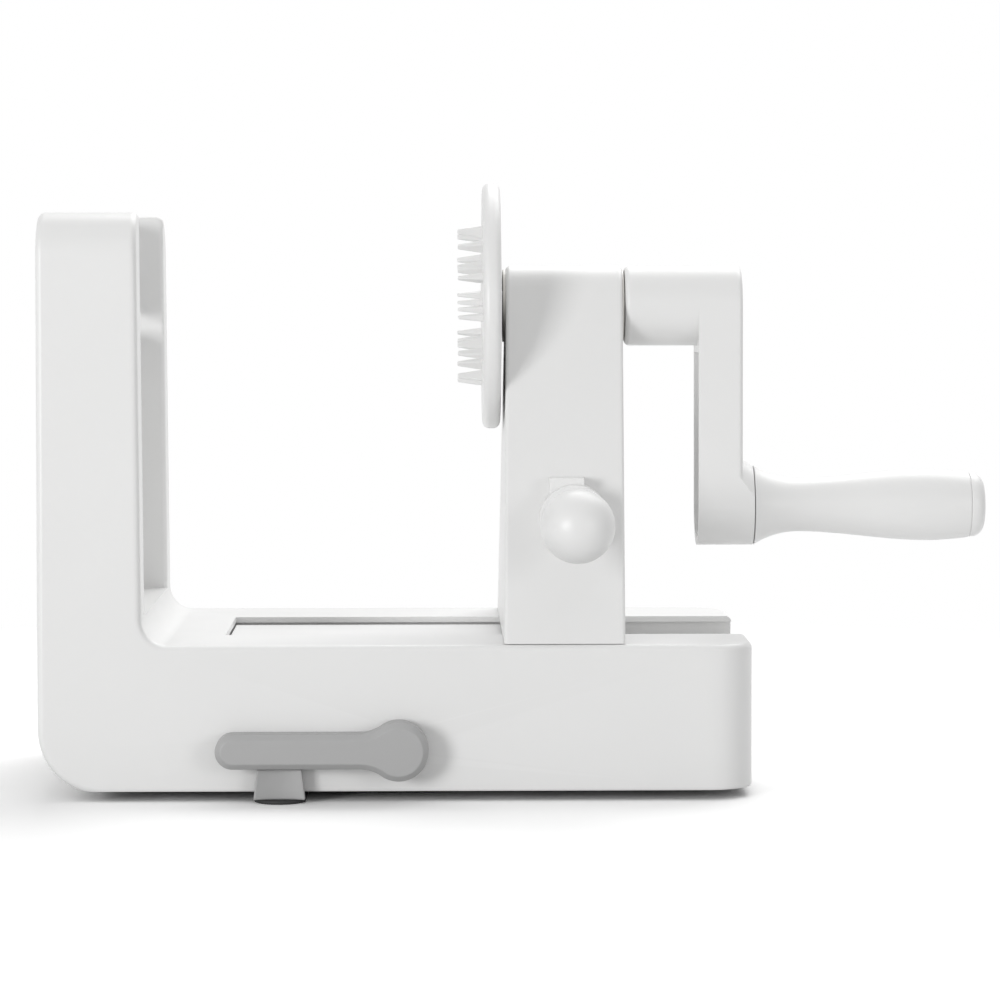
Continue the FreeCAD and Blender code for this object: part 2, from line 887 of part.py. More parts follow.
def plunger_guide():
    """Two bearing posts on a plate, screwed to the cover, with the bush in the front wall."""
    half = s.guide_plate_length / 2
    inner = s.yoke_depth / 2 + s.post_gap
    outer = inner + s.post_thick
    top = cover_top + s.guide_plate_thick
    left, right = s.lever_axis_at - half, s.lever_axis_at + half
    base = box("guide_plate", (left, right), (-outer, outer), (cover_top, top))
    post_half = s.post_width / 2
    post_top = s.lever_axis_height + post_half
    posts = [
        box(
            f"guide_post_{i}", (s.lever_axis_at - post_half, s.lever_axis_at + post_half), span,
            (top, post_top),
        )
        for i, span in enumerate(((-outer, -inner), (inner, outer)))
    ]
    bore = rod(
        "guide_bore", "y", s.cam_shaft_radius + s.running_fit, -outer - 1, outer + 1,
        (s.lever_axis_at, s.lever_axis_height),
    )
    passage = rod("guide_passage", "z", s.cup_passage_radius, cover_top - 1, top + 1, (s.lever_axis_at, 0))
    holes = [
        rod(f"guide_pilot_{i}", "z", screw_holes, cover_top - 1, top + 1, spot)
        for i, spot in enumerate(guide_screw_spots())
    ]
    keep("plunger_guide", cut("plunger_guide", fuse("guide_full", base, *posts), bore, passage, *holes))
    screws = [
        screw(
            f"guide_screw_{i}", "z", -1, top, spot, s.small_screw_radius, s.short_screw_length,
            s.small_head_radius, s.small_head_height,
        )
        for i, spot in enumerate(guide_screw_spots())
    ]
    keep("guide_screws", group("guide_screws", screws))
    bore_radius = s.cam_shaft_radius + s.running_fit
    flange = s.wall_bush_radius + 2
    wall_inner = s.wall - half_width
    bush = turned(
        "lever_bush", "y", 1, -half_width, (s.lever_axis_at, s.lever_axis_height),
        [
            (0, bore_radius), (s.wall_bush_length, bore_radius), (s.wall_bush_length, s.wall_bush_radius),
            (s.wall + 1.5, s.wall_bush_radius), (s.wall + 1.5, flange), (s.wall, flange),
            (s.wall, s.wall_bush_radius), (0, s.wall_bush_radius),
        ],
    )
    keep("lever_bush", bush)


def suction_lever():
    """The grey lever, its shaft with the eccentric pin, and the clip at the inner end."""
    back = -half_width - s.lever_gap
    front = back - s.lever_thick
    bar_half = s.lever_bar_height / 2
    tip = s.lever_axis_at - s.lever_length + bar_half
    axis = (s.lever_axis_at, s.lever_axis_height)
    hub = rod("lever_hub", "y", s.lever_hub_radius, front, back, axis)
    bar = box(
        "lever_bar", (tip, s.lever_axis_at), (front, back),
        (s.lever_axis_height - bar_half, s.lever_axis_height + bar_half),
    )
    end = rod("lever_tip", "y", bar_half, front, back, (tip, s.lever_axis_height))
    form = fuse("lever_form", hub, bar, end)
    corner_x = s.lever_axis_at - root(s.lever_hub_radius * s.lever_hub_radius - bar_half * bar_half)
    form = rounded("lever_necks", form, s.lever_neck_round, lambda e: runs(e, "y") and lies(e, x=corner_x))
    form = rounded("lever_rims", form, s.lever_edge_round, lambda e: lies(e, y=front))
    socket = rod("lever_socket", "y", s.cam_shaft_radius + s.press_fit, back - s.cam_shaft_seat, back + 1, axis)
    keep("suction_lever", cut("suction_lever", form, socket))
    inner = s.yoke_depth / 2 + s.running_gap
    outer = s.yoke_depth / 2 + s.post_gap + s.post_thick
    clip_at = outer + s.running_gap
    shaft_end = clip_at + 2 * s.clip_thick
    groove = s.cam_shaft_radius - s.clip_thick
    front_shaft = rod("cam_front", "y", s.cam_shaft_radius, back - s.cam_shaft_seat, -inner, axis)
    back_shaft = turned(
        "cam_back", "y", 1, inner, axis,
        [
            (0, 0), (0, s.cam_shaft_radius), (clip_at - inner, s.cam_shaft_radius), (clip_at - inner, groove),
            (clip_at + s.clip_thick - inner, groove), (clip_at + s.clip_thick - inner, s.cam_shaft_radius),
            (shaft_end - inner, s.cam_shaft_radius), (shaft_end - inner, 0),
        ],
    )
    pin = rod(
        "cam_pin", "y", s.cam_pin_radius, -inner - 1, inner + 1,
        (s.lever_axis_at, s.lever_axis_height - s.lift / 2),
    )
    keep("cam_shaft", fuse("cam_shaft", front_shaft, back_shaft, pin))
    clip = turned(
        "shaft_clip", "y", 1, clip_at, axis,
        [
            (0, groove + s.press_fit), (s.clip_thick, groove + s.press_fit), (s.clip_thick, s.clip_radius),
            (0, s.clip_radius),
        ],
    )
    keep("shaft_clip", clip)


def cup_plunger():
    """The plunger whose slot rides on the eccentric pin, and the coil spring above it."""
    x = s.lever_axis_at
    half = s.yoke_width / 2
    depth = s.yoke_depth / 2
    block = box("yoke_block", (x - half, x + half), (-depth, depth), (s.yoke_floor, s.yoke_top))
    stem = rod("plunger_stem", "z", s.stem_radius, s.cup_socket_floor, s.yoke_floor + 1, (x, 0))
    pilot = rod("plunger_pilot", "z", s.pilot_radius, s.yoke_top - 1, s.yoke_top + s.pilot_length, (x, 0))
    reach = s.cam_pin_radius + s.lift / 2 + s.yoke_play
    pin_low = s.lever_axis_height - s.lift / 2 - s.cam_pin_radius - s.yoke_play
    pin_high = s.lever_axis_height - s.lift / 2 + s.cam_pin_radius + s.yoke_play
    slot = box("yoke_slot", (x - reach, x + reach), (-depth - 1, depth + 1), (pin_low, pin_high))
    keep("cup_plunger", cut("cup_plunger", fuse("plunger_full", block, stem, pilot), slot))
    low = float(s.yoke_top + s.spring_wire / 2)
    high = float(s.channel_floor - s.channel_wall - s.spring_wire / 2)
    keep("plunger_spring", coil("plunger_spring", float(x), low, high))


def coil(name, x, low, high):
    """A coil spring of quarter-turn arcs about a vertical axis."""
    radius = float(s.spring_radius)
    steps = 4 * int(float(s.spring_turns))

    def point(step):
        angle = math.pi / 2 * step
        return V(x + radius * math.cos(angle), radius * math.sin(angle), low + (high - low) * step / steps)

    edges = [Part.Arc(point(i), point(i + 0.5), point(i + 1)).toShape() for i in range(steps)]
    path = Part.Wire(edges)
    start = path.OrderedEdges[0]
    heading = start.tangentAt(start.FirstParameter)
    section = Part.Wire([Part.makeCircle(float(s.spring_wire) / 2, point(0), heading)])
    item = doc.addObject("Part::Feature", name)
    item.Shape = path.makePipeShell([section], True, False)
    return item


def tower_outline(radius, foot, bottom):
    """A foot that tapers to a half round about the crank axis."""
    drop = s.axis_height - bottom
    square = foot * foot + drop * drop
    reach = root(square - radius * radius)
    u = (radius * radius * foot + radius * reach * drop) / square
    v = s.axis_height + (radius * reach * foot - radius * radius * drop) / square
    return [(-foot, bottom), (foot, bottom), (u, v, None, radius), (-u, v)]


def tower_sides(name, inset, bottom):
    """The tower seen from the front, its two sides leaning alike."""
    slope = s.tower_lean / (s.axis_height - tower_foot)
    top = s.axis_height + s.tower_top_radius + 1
    corners = [
        (x + (z - s.axis_height) * slope, z)
        for x, z in (
            (s.tower_start + inset, bottom), (tower_end - inset, bottom), (tower_end - inset, top),
            (s.tower_start + inset, top),
        )
    ]
    return plate(name, "XZ", corners, -s.foot_width, s.foot_width)


def tower_wedge(name, radius, foot, bottom):
    """The tower seen from the end, longer than the tower is."""
    return plate(name, "YZ", tower_outline(radius, foot, bottom), 0, 2 * tower_end)


def tower_shell():
    """The white tower, hollow, with a bearing tube along the crank axis."""
    outer = common(
        "tower_form", tower_wedge("tower_wedge", s.tower_top_radius, foot_half, tower_foot),
        tower_sides("tower_sides", Size.of(0), tower_foot),
    )
    outer = rounded("tower_rims", outer, s.tower_edge_round, lambda e: not lies(e, z=tower_foot))
    inner_foot = foot_half - tower_wall_across
    hollow = common(
        "tower_hollow", tower_wedge("hollow_wedge", s.tower_top_radius - s.tower_wall, inner_foot, tower_foot - 1),
        tower_sides("hollow_sides", s.tower_wall, tower_foot - 1),
    )
    tube = rod("bearing_tube", "x", s.bearing_tube_radius, s.tower_start + 1, tower_end - 1, (0, s.axis_height))
    knob_boss = rod(
        "knob_boss", "y", s.knob_boss_radius, -s.socket_face, -knob_boss_face, (s.knob_at, s.knob_height),
    )
    boss = common("knob_boss_inside", knob_boss, hollow)
    bore = rod(
        "bearing_bore", "x", s.bush_radius + s.press_fit, s.tower_start - 1, tower_end + 1, (0, s.axis_height),
    )
    knob_hole = rod(
        "knob_hole", "y", screw_holes + 0.5, -s.knob_reach, 1 - knob_boss_face, (s.knob_at, s.knob_height),
    )
    walls = cut("tower_walls", outer, hollow)
    seats = [
        rod(f"bush_seat_{i}", "x", s.bush_flange_radius, low, high, (0, s.axis_height))
        for i, (low, high) in enumerate(
            ((s.tower_start, s.tower_start + s.tower_wall), (tower_end - s.tower_wall, tower_end))
        )
    ]
    flats = [
        rod(f"bush_flat_{i}", "x", s.bush_flange_radius + s.running_gap, low, high, (0, s.axis_height))
        for i, (low, high) in enumerate(((s.tower_start - 1, s.tower_start), (tower_end, tower_end + 1)))
    ]
    posts = [
        rod(f"tower_post_{i}", "z", s.housing_boss_radius, shoe_under + s.shoe_thick, tower_foot + s.shoe_post_height, spot)
        for i, spot in enumerate(shoe_screw_spots())
    ]
    pilots = [
        rod(f"tower_pilot_{i}", "z", screw_holes, tower_foot, shoe_under + s.small_screw_length, spot)
        for i, spot in enumerate(shoe_screw_spots())
    ]
    full = fuse("tower_full", walls, tube, boss, *seats, *posts)
    return keep("tower_shell", cut("tower_shell", full, bore, knob_hole, *flats, *pilots))


def shoe_screw_spots():
    """Screws through the shoe beside the end walls of the tower."""
    inset = s.tower_wall + s.housing_boss_radius - 2 * s.shoe_inset
    return [
        (x, y)
        for x in (s.tower_start - s.tower_lean + inset, tower_end - s.tower_lean - inset)
        for y in (-s.shoe_screw_at, s.shoe_screw_at)
    ]


def carriage_shoe():
    """The plate in the foot of the tower, its two hooks, screws and pads."""
    inset = s.tower_wall + s.shoe_inset
    left, right = s.tower_start - s.tower_lean + inset, tower_end - s.tower_lean - inset
    half = foot_half - tower_wall_across - (s.shoe_thick + 1) * tower_slope - s.shoe_inset
    top = shoe_under + s.shoe_thick
    base = box("shoe_plate", (left, right), (-half, half), (shoe_under, top))
    hook_bottom = s.deck_height - s.hook_depth
    leg_outer = slot_half - s.hook_play
    leg_inner = leg_outer - s.hook_leg
    foot_outer = channel_half - s.hook_play
    hooks = []
    for side in (-1, 1):
        leg = sorted((side * leg_inner, side * leg_outer), key=float)
        foot = sorted((side * leg_inner, side * foot_outer), key=float)
        name = "near" if side < 0 else "far"
        hooks.append(box(f"hook_leg_{name}", (left, right), leg, (hook_bottom, shoe_under + 1)))
        hooks.append(
            box(f"hook_foot_{name}", (left, right), foot, (hook_bottom, hook_bottom + s.hook_foot_thick))
        )
    pad_x = [(left + 2, left + 2 + s.pad_length), (right - 2 - s.pad_length, right - 2)]
    pad_y = [(channel_half + 4, channel_half + 4 + s.pad_width), (-channel_half - 4 - s.pad_width, -channel_half - 4)]
    low = s.deck_height + s.pad_gap
    pads = [
        box(f"glide_pad_{i}{j}", x, y, (low, low + s.pad_thick))
        for i, x in enumerate(pad_x) for j, y in enumerate(pad_y)
    ]
    pockets = [
        box(f"pad_pocket_{i}{j}", x, y, (low - 1, low + s.pad_thick))
        for i, x in enumerate(pad_x) for j, y in enumerate(pad_y)
    ]
    holes = [
        rod(f"shoe_hole_{i}", "z", screw_holes, shoe_under - 1, top + 1, spot)
        for i, spot in enumerate(shoe_screw_spots())
    ]
    sinks = [
        rod(
            f"shoe_sink_{i}", "z", s.small_head_radius + s.shoe_inset, shoe_under - 1,
            shoe_under + s.small_head_height, spot,
        )
        for i, spot in enumerate(shoe_screw_spots())
    ]
    keep("carriage_shoe", cut("carriage_shoe", fuse("shoe_full", base, *hooks), *pockets, *holes, *sinks))
    keep("glide_pads", group("glide_pads", pads))
    screws = [
        screw(
            f"shoe_screw_{i}", "z", 1, shoe_under + s.small_head_height, spot, s.small_screw_radius,
            s.small_screw_length - s.small_head_height, s.small_head_radius, s.small_head_height,
        )
        for i, spot in enumerate(shoe_screw_spots())
    ]
    keep("shoe_screws", group("shoe_screws", screws))


def bush(name, sense, face, flange_thick):
    """A flanged bush pushed into one end of the bearing tube."""
    bore = s.shaft_radius + s.running_fit
    piece = turned(
        name, "x", sense, face, (0, s.axis_height),
        [
            (-flange_thick, bore), (s.bush_length, bore), (s.bush_length, s.bush_radius), (0, s.bush_radius),
            (0, s.bush_flange_radius), (-flange_thick, s.bush_flange_radius),
        ],
    )
    return keep(name, piece)


def push_knob():
    """The ball knob on the tower's near face with its socket, stem and screw."""
    spot = (s.knob_at, s.knob_height)
    flange = rod("socket_flange", "y", s.socket_radius, -s.socket_face, -knob_boss_face, spot)
    half = s.socket_tab_width / 2
    middle = s.knob_at - s.socket_tab_shift
    tab = box(
        "socket_tab", (middle - half, middle + half), (-s.socket_tab_face, -knob_boss_face),
        (s.knob_height, s.knob_height + s.socket_tab_rise),
    )
    room = tower_wedge("socket_room", s.tower_top_radius, foot_half, tower_foot)
    hole = rod("socket_hole", "y", screw_holes + 0.5, -s.knob_reach, 0, spot)
    keep("knob_socket", cut("knob_socket", fuse("socket_full", flange, tab), room, hole))
    stem_end = s.knob_reach - s.knob_radius + s.knob_stem_grip
    pilot = stem_end - s.socket_face - 3
    stem = turned(
        "knob_stem", "y", -1, -s.socket_face, spot,
        [
            (0, screw_holes), (pilot, screw_holes), (pilot, 0), (stem_end - s.socket_face, 0),
            (stem_end - s.socket_face, s.knob_stem_radius), (0, s.knob_stem_radius),
        ],
    )
    keep("knob_stem", stem)
    ball = doc.addObject("Part::Sphere", "knob_ball")
    bind(ball, "Radius", s.knob_radius)
    put(ball, s.knob_at, -s.knob_reach, s.knob_height)
    socket = rod("ball_socket", "y", s.knob_stem_radius + s.press_fit, -stem_end, -s.socket_face, spot)
    keep("push_knob", cut("push_knob", ball, socket))
    length = s.socket_face - knob_boss_face + pilot - 1
    fixing = screw(
        "knob_screw", "y", -1, -knob_boss_face, spot, s.small_screw_radius, length,
        s.small_head_radius, s.small_head_height,
    )
    keep("knob_screw", fixing)


holder_back = s.tower_start - s.front_flange_thick - s.running_gap
holder_front = holder_back - s.holder_thick
hub_start = tower_end + s.rear_flange_thick + s.running_gap
arm_end = hub_start + s.crank_hub_length
arm_start = arm_end - s.arm_thick
grip_axis = s.axis_height - s.crank_throw
shaft_front = holder_front + s.holder_sink_depth + s.holder_web
shaft_end = arm_end - s.hub_cap_thick - s.crank_head_height - s.screw_web - s.running_gap
shaft_bore = s.shaft_radius + s.press_fit


def drive_shaft():
    """The steel shaft through the tower, drilled at both ends."""
    length = shaft_end - shaft_front
    depth = s.crank_screw_length + 1
    hole = s.crank_screw_radius + s.press_fit
    piece = turned(
        "drive_shaft", "x", 1, shaft_front, (0, s.axis_height),
        [
            (0, hole), (0, s.shaft_radius), (length, s.shaft_radius), (length, hole), (length - depth, hole),
            (length - depth, 0), (depth, 0), (depth, hole),
        ],
    )
    keep("drive_shaft", piece)


def teeth(ring, radius, count, turn):
    """One ring of flat pointed teeth that stand out of the holder's front."""
    pieces = []
    total = int(float(count))
    for index in range(total):
        tooth = doc.addObject("Part::Wedge", f"{ring}_tooth_{index}")
        values = {
            "Xmin": -s.tooth_root / 2, "Xmax": s.tooth_root / 2,
            "Ymin": 0, "Ymax": s.tooth_length + 1,
            "Zmin": -s.tooth_root_thick / 2, "Zmax": s.tooth_root_thick / 2,
            "X2min": -s.tooth_point / 2, "X2max": s.tooth_point / 2,
            "Z2min": -s.tooth_point_thick / 2, "Z2max": s.tooth_point_thick / 2,
        }
        for prop, value in values.items():
            bind(tooth, prop, value)
        angle = math.radians(float(turn) + 360 * index / total)
        outward = V(0, math.cos(angle), math.sin(angle))
        facing = FreeCAD.Rotation(outward, V(-1, 0, 0), V(), "XYZ")
        put(
            tooth, holder_front + 1, radius * math.cos(angle), s.axis_height + radius * math.sin(angle), facing,
        )
        pieces.append(tooth)
    return pieces


def food_holder():
    """The toothed disc that grips the vegetable, and the screw that holds it on the shaft."""
    dome = s.front_flange_thick * 0.6
    seat = holder_front + s.holder_sink_depth
    disc = turned(
        "holder_disc", "x", 1, holder_front, (0, s.axis_height),
        [
            (0, 0), (0, s.holder_radius, s.holder_rim_round),
            (s.holder_thick - dome, s.holder_radius, s.holder_rim_round),
            (s.holder_thick, s.bush_flange_radius), (s.holder_thick, 0),
        ],
    )
    rings = teeth("outer", s.outer_ring_radius, s.outer_ring_count, s.outer_ring_turn)
    rings += teeth("inner", s.inner_ring_radius, s.inner_ring_count, s.inner_ring_turn)
    bore = rod("holder_bore", "x", shaft_bore, shaft_front, holder_back + 1, (0, s.axis_height))
    passage = rod(
        "holder_passage", "x", s.crank_screw_radius + s.running_gap, holder_front - 1, holder_back,
        (0, s.axis_height),
    )
    sink = rod(
        "holder_sink", "x", s.holder_head_radius + s.running_gap, holder_front - 1, seat, (0, s.axis_height),
    )
    keep("food_holder", cut("food_holder", fuse("holder_full", disc, *rings), bore, passage, sink))
    fixing = screw(
        "holder_screw", "x", 1, seat, (0, s.axis_height), s.crank_screw_radius, s.crank_screw_length,
        s.holder_head_radius, s.holder_head_height,
    )
    keep("holder_screw", fixing)


def arm_profile(name, half, low, high, top):
    """A bar of the arm's form, round at the grip axis and square at the top."""
    foot = [(-half, grip_axis, None, half), (0, grip_axis - half, None, half), (half, grip_axis)]
    return plate(name, "YZ", [(-half, top), *foot, (half, top)], low, high)


def crank_arm():
    """The crank: a hub, an arm with a shallow recess behind, and a flared seat for the grip."""
    axis = (0, s.axis_height)
    half = s.crank_hub_radius
    hub = rod("crank_hub", "x", half, hub_start, arm_start, axis)
    foot = [(-half, grip_axis, None, half), (0, grip_axis - half, None, half), (half, grip_axis)]
    head = [(half, s.axis_height, None, half), (0, s.axis_height + half, None, half), (-half, s.axis_height)]
    arm = plate("crank_bar", "YZ", foot + head, arm_start, arm_end)
    form = fuse("crank_form", hub, arm)
    form = rounded("crank_rims", form, s.crank_edge_round, lambda e: lies(e, x=arm_end) or lies(e, x=hub_start))
    seat_end = arm_end + s.flare_length
    flare = doc.addObject("Part::Cone", "crank_flare")
    bind(flare, "Radius1", s.flare_radius)
    bind(flare, "Radius2", half)
    bind(flare, "Height", s.flare_length + s.crank_edge_round)
    put(flare, arm_end - s.crank_edge_round, 0, grip_axis, AXES["x"])
    limit = arm_profile("flare_limit", half, arm_start, seat_end, s.axis_height)
    recess = arm_profile(
        "crank_recess", half - s.arm_shell, arm_start - 1, arm_start + s.arm_shell,
        s.axis_height - half - s.arm_shell,
    )
    full = fuse("crank_full", cut("crank_open", form, recess), common("crank_seat", flare, limit))
    shaft_room = rod("crank_bore", "x", shaft_bore, hub_start - 1, shaft_end + s.running_gap, axis)
    passage = rod("crank_passage", "x", s.crank_screw_radius + s.running_gap, hub_start, arm_end + 1, axis)
    sink = rod(
        "crank_sink", "x", s.hub_cap_radius + s.press_fit, arm_end - s.hub_cap_thick - s.crank_head_height,
        arm_end + 1, axis,
    )
    axle_room = rod(
        "axle_room", "x", s.axle_radius + s.press_fit, arm_start, seat_end + 1, (0, grip_axis),
    )
    keep("crank_arm", cut("crank_arm", full, shaft_room, passage, sink, axle_room))
    fixing = screw(
        "crank_screw", "x", -1, arm_end - s.hub_cap_thick - s.crank_head_height, axis, s.crank_screw_radius,
        s.crank_screw_length, s.crank_head_radius, s.crank_head_height - s.running_gap,
    )
    keep("crank_screw", fixing)
    cap = turned(
        "hub_cap", "x", 1, arm_end - s.hub_cap_thick, axis,
        [(0, 0), (0, s.hub_cap_radius), (s.hub_cap_thick, s.hub_cap_radius), (s.hub_cap_thick, 0)],
    )
    keep("hub_cap", cap)


grip_start = arm_end + s.flare_length + s.running_gap
grip_seam = grip_start + s.grip_length
well_floor = grip_seam - s.grip_well_depth


def hand_grip():
    """The waisted grip that turns on its axle, its end cap, washer and screw."""
    marks = [
        (grip_start, s.grip_start_radius),
        (grip_start + s.grip_waist_at, s.grip_waist_radius),
        (grip_start + s.grip_belly_at, s.grip_belly_radius),
        (grip_seam, s.grip_seam_radius),
    ]
    points = [V(float(x), 0, float(grip_axis + r)) for x, r in marks]
    run_in = float(s.grip_start_radius - s.grip_waist_radius) / float(s.grip_waist_at)
    run_out = float(s.grip_belly_radius - s.grip_seam_radius) / float(s.grip_length - s.grip_belly_at)
    slopes = [V(1, 0, -2 * run_in), V(1, 0, 0), V(1, 0, 0), V(1, 0, -2 * run_out)]
    curve = Part.BSplineCurve()
    curve.interpolate(
        Points=points, Parameters=[p.x for p in points], Tangents=slopes, TangentFlags=[True] * len(points),
    )
    low = V(points[0].x, 0, float(grip_axis))
    high = V(points[-1].x, 0, float(grip_axis))
    sides = [
        Part.makeLine(low, points[0]), curve.toShape(), Part.makeLine(points[-1], high), Part.makeLine(high, low),
    ]
    form = doc.addObject("Part::Feature", "grip_form")
    form.Shape = Part.Face(Part.Wire(sides)).revolve(low, V(1, 0, 0), 360)
    axis = (0, grip_axis)
    bore = rod("grip_bore", "x", s.axle_radius + s.running_fit, grip_start - 1, grip_seam + 1, axis)
    well = rod("grip_well", "x", s.grip_well_radius, well_floor, grip_seam + 1, axis)
    keep("hand_grip", cut("hand_grip", form, bore, well))
    plug = s.grip_well_radius - s.press_fit
    cap = turned(
        "grip_end_cap", "x", 1, grip_seam, axis,
        [
            (-s.cap_plug_length, plug - s.arm_shell), (-s.cap_plug_length, plug), (0, plug), (0, s.grip_seam_radius),
            (s.grip_cap_length, s.grip_seam_radius, s.grip_cap_round), (s.grip_cap_length, 0), (0, 0),
            (0, plug - s.arm_shell),
        ],
    )
    keep("grip_end_cap", cap)
    washer_at = well_floor + s.running_gap
    head_at = washer_at + s.clip_thick
    hole = s.crank_screw_radius + s.press_fit
    depth = s.crank_screw_length + 1
    start = arm_start + s.arm_shell
    length = washer_at - start
    axle = turned(
        "grip_axle", "x", 1, start, axis,
        [
            (0, 0), (length - depth, 0), (length - depth, hole), (length, hole), (length, s.axle_radius),
            (0, s.axle_radius),
        ],
    )
    keep("grip_axle", axle)
    washer = turned(
        "axle_washer", "x", 1, washer_at, axis,
        [(0, hole), (s.clip_thick, hole), (s.clip_thick, s.axle_radius + 3), (0, s.axle_radius + 3)],
    )
    keep("axle_washer", washer)
    fixing = screw(
        "axle_screw", "x", -1, head_at, axis, s.crank_screw_radius, s.crank_screw_length,
        s.crank_head_radius, s.crank_head_height,
    )
    keep("axle_screw", fixing)


def blade_cartridge():
    """The plate that slides down between the arms, with its blade, comb and coring tube."""
    middle = (groove_left + groove_right) / 2
    back, front = middle - s.cartridge_thick / 2, middle + s.cartridge_thick / 2
    low = s.window_floor + s.cartridge_gap
    high = s.upright_height - s.cartridge_margin
    half = groove_wall - s.cartridge_gap
    panel = box("cartridge_panel", (back, front), (-half, half), (low, high))
    slot_low = s.axis_height - s.noodle_slot_height
    slot_end = s.noodle_slot_start + s.noodle_slot_length
    slot = box("noodle_slot", (back - 1, front + 1), (s.noodle_slot_start, slot_end), (slot_low, s.axis_height))
    bore = rod(
        "coring_bore", "x", s.coring_radius + s.press_fit, back - 1, front + 1, (0, s.axis_height),
    )
    seam = s.noodle_slot_start + s.small_head_radius
    spots = [(seam, s.axis_height + s.blade_height - 4), (slot_end - 4, s.axis_height + s.blade_height - 4)]
    pilots = [
        rod(f"blade_pilot_{i}", "x", screw_holes, back - 1, front + 1, spot) for i, spot in enumerate(spots)
    ]
    keep("blade_frame", cut("blade_frame", panel, slot, bore, *pilots))
    lead = s.blade_height / 2
    flat = box(
        "blade_flat", (front, front + s.blade_thick), (s.noodle_slot_start + 1, slot_end - 1),
        (s.axis_height + 1, s.axis_height + s.blade_height),
    )
    holes = [
        rod(f"blade_hole_{i}", "x", screw_holes, front - 1, front + 3, spot) for i, spot in enumerate(spots)
    ]
    edge = doc.addObject("Part::Box", "blade_edge")
    bind(edge, "Length", s.blade_thick)
    bind(edge, "Width", slot_end - s.noodle_slot_start - 2)
    bind(edge, "Height", lead)
    put(
        edge, front, s.noodle_slot_start + 1, s.axis_height + 1 + s.blade_thick / 2,
        FreeCAD.Rotation(V(0, 1, 0), 180 - float(s.blade_tilt)),
    )
    room = box("blade_room", (back, front), (-half, half), (slot_low, s.upright_height))
    keep("slicing_blade", cut("slicing_blade", fuse("blade_full", flat, edge), room, *holes))
    screws = [
        screw(
            f"blade_screw_{i}", "x", -1, front + s.blade_thick, spot, s.small_screw_radius,
            s.cartridge_thick, s.small_head_radius, s.small_head_height,
        )
        for i, spot in enumerate(spots)
    ]
    keep("blade_screws", group("blade_screws", screws))
    total = int(float(s.comb_count))
    pitch = s.noodle_slot_length / total
    lancets = [
        box(
            f"comb_{i}", (front, front + s.comb_reach),
            (s.noodle_slot_start + pitch * (i + 0.5), s.noodle_slot_start + pitch * (i + 0.5) + s.comb_thick),
            (slot_low - s.comb_height - 1, slot_low - 1),
        )
        for i in range(total)
    ]
    keep("comb_blades", group("comb_blades", lancets))
    inner = s.coring_radius - s.coring_wall
    tube = turned(
        "coring_tube", "x", 1, back, (0, s.axis_height),
        [
            (0, inner), (s.coring_length, inner), (s.coring_length - s.coring_wall * 2, s.coring_radius),
            (0, s.coring_radius),
        ],
    )
    keep("coring_tube", tube)


def check_and_write():
    """Stops on any failed or empty piece, then writes each to its own file."""
    doc.recompute()
    faults = [item.Name for item in doc.Objects if "Invalid" in item.State or "Error" in item.State]
    for name, item in finished.items():
        shape = item.Shape
        if shape.isNull() or not shape.isValid() or not shape.Solids:
            faults.append(name)
    if faults:
        raise RuntimeError("failed: " + ", ".join(faults))
    os.makedirs("parts", exist_ok=True)
    for name, item in finished.items():
        item.Shape.exportStep(f"parts/{name}.step")
        print(f"{name}: {len(item.Shape.Solids)} solid(s), {item.Shape.Volume:.1f} mm3")


body_shell()
track_bed()
bottom_cover()
suction_cup()
plunger_guide()
suction_lever()
cup_plunger()
tower_shell()
carriage_shoe()
bush("front_bush", 1, s.tower_start, s.front_flange_thick)
bush("rear_bush", -1, tower_end, s.rear_flange_thick)
push_knob()
drive_shaft()
food_holder()
crank_arm()
hand_grip()
blade_cartridge()
check_and_write()
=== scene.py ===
"""Hand-cranked spiral slicer in white plastic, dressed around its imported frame.

Every length in a dataclass field is in millimetres in the frame's axes: +X towards the crank, +Y away from the
suction lever, +Z up from the table.
"""

import json
import logging
import math
from dataclasses import dataclass
from enum import Enum

import bmesh
import bpy
from mathutils import Matrix, Vector


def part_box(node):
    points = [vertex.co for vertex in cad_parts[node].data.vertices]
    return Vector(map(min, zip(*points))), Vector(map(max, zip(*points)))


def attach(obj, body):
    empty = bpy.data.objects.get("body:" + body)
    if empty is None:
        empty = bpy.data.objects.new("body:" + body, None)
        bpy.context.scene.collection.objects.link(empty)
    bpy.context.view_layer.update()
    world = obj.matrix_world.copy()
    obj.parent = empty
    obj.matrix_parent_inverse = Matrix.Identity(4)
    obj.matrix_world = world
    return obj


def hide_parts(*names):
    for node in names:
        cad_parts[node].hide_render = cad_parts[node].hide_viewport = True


log = logging.getLogger("spiral_slicer")
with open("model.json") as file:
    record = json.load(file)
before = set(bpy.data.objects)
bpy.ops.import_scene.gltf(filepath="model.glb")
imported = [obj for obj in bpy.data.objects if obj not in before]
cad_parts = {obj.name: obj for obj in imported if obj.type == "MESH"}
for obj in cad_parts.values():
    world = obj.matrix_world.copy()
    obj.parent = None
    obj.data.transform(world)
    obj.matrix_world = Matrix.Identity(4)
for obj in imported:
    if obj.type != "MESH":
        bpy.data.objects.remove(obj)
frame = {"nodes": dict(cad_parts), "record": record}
MM = 0.001
FULL_TURN = 2 * math.pi
# Vertices nearer than WELD are one, and a radius under POLE is a point on the axis, both without regard to MM
WELD = 2e-6
POLE = 1e-6
SHAFT_Z = 158.0
LEVER_X = 0.7


class Body(Enum):
    """The bodies that pieces ride on."""

    BASE = "base"
    LEVER = "lever"
    PLUNGER = "plunger"
    CARRIAGE = "carriage"
    CRANK = "crank"
    GRIP = "grip"
    CARTRIDGE = "cartridge"


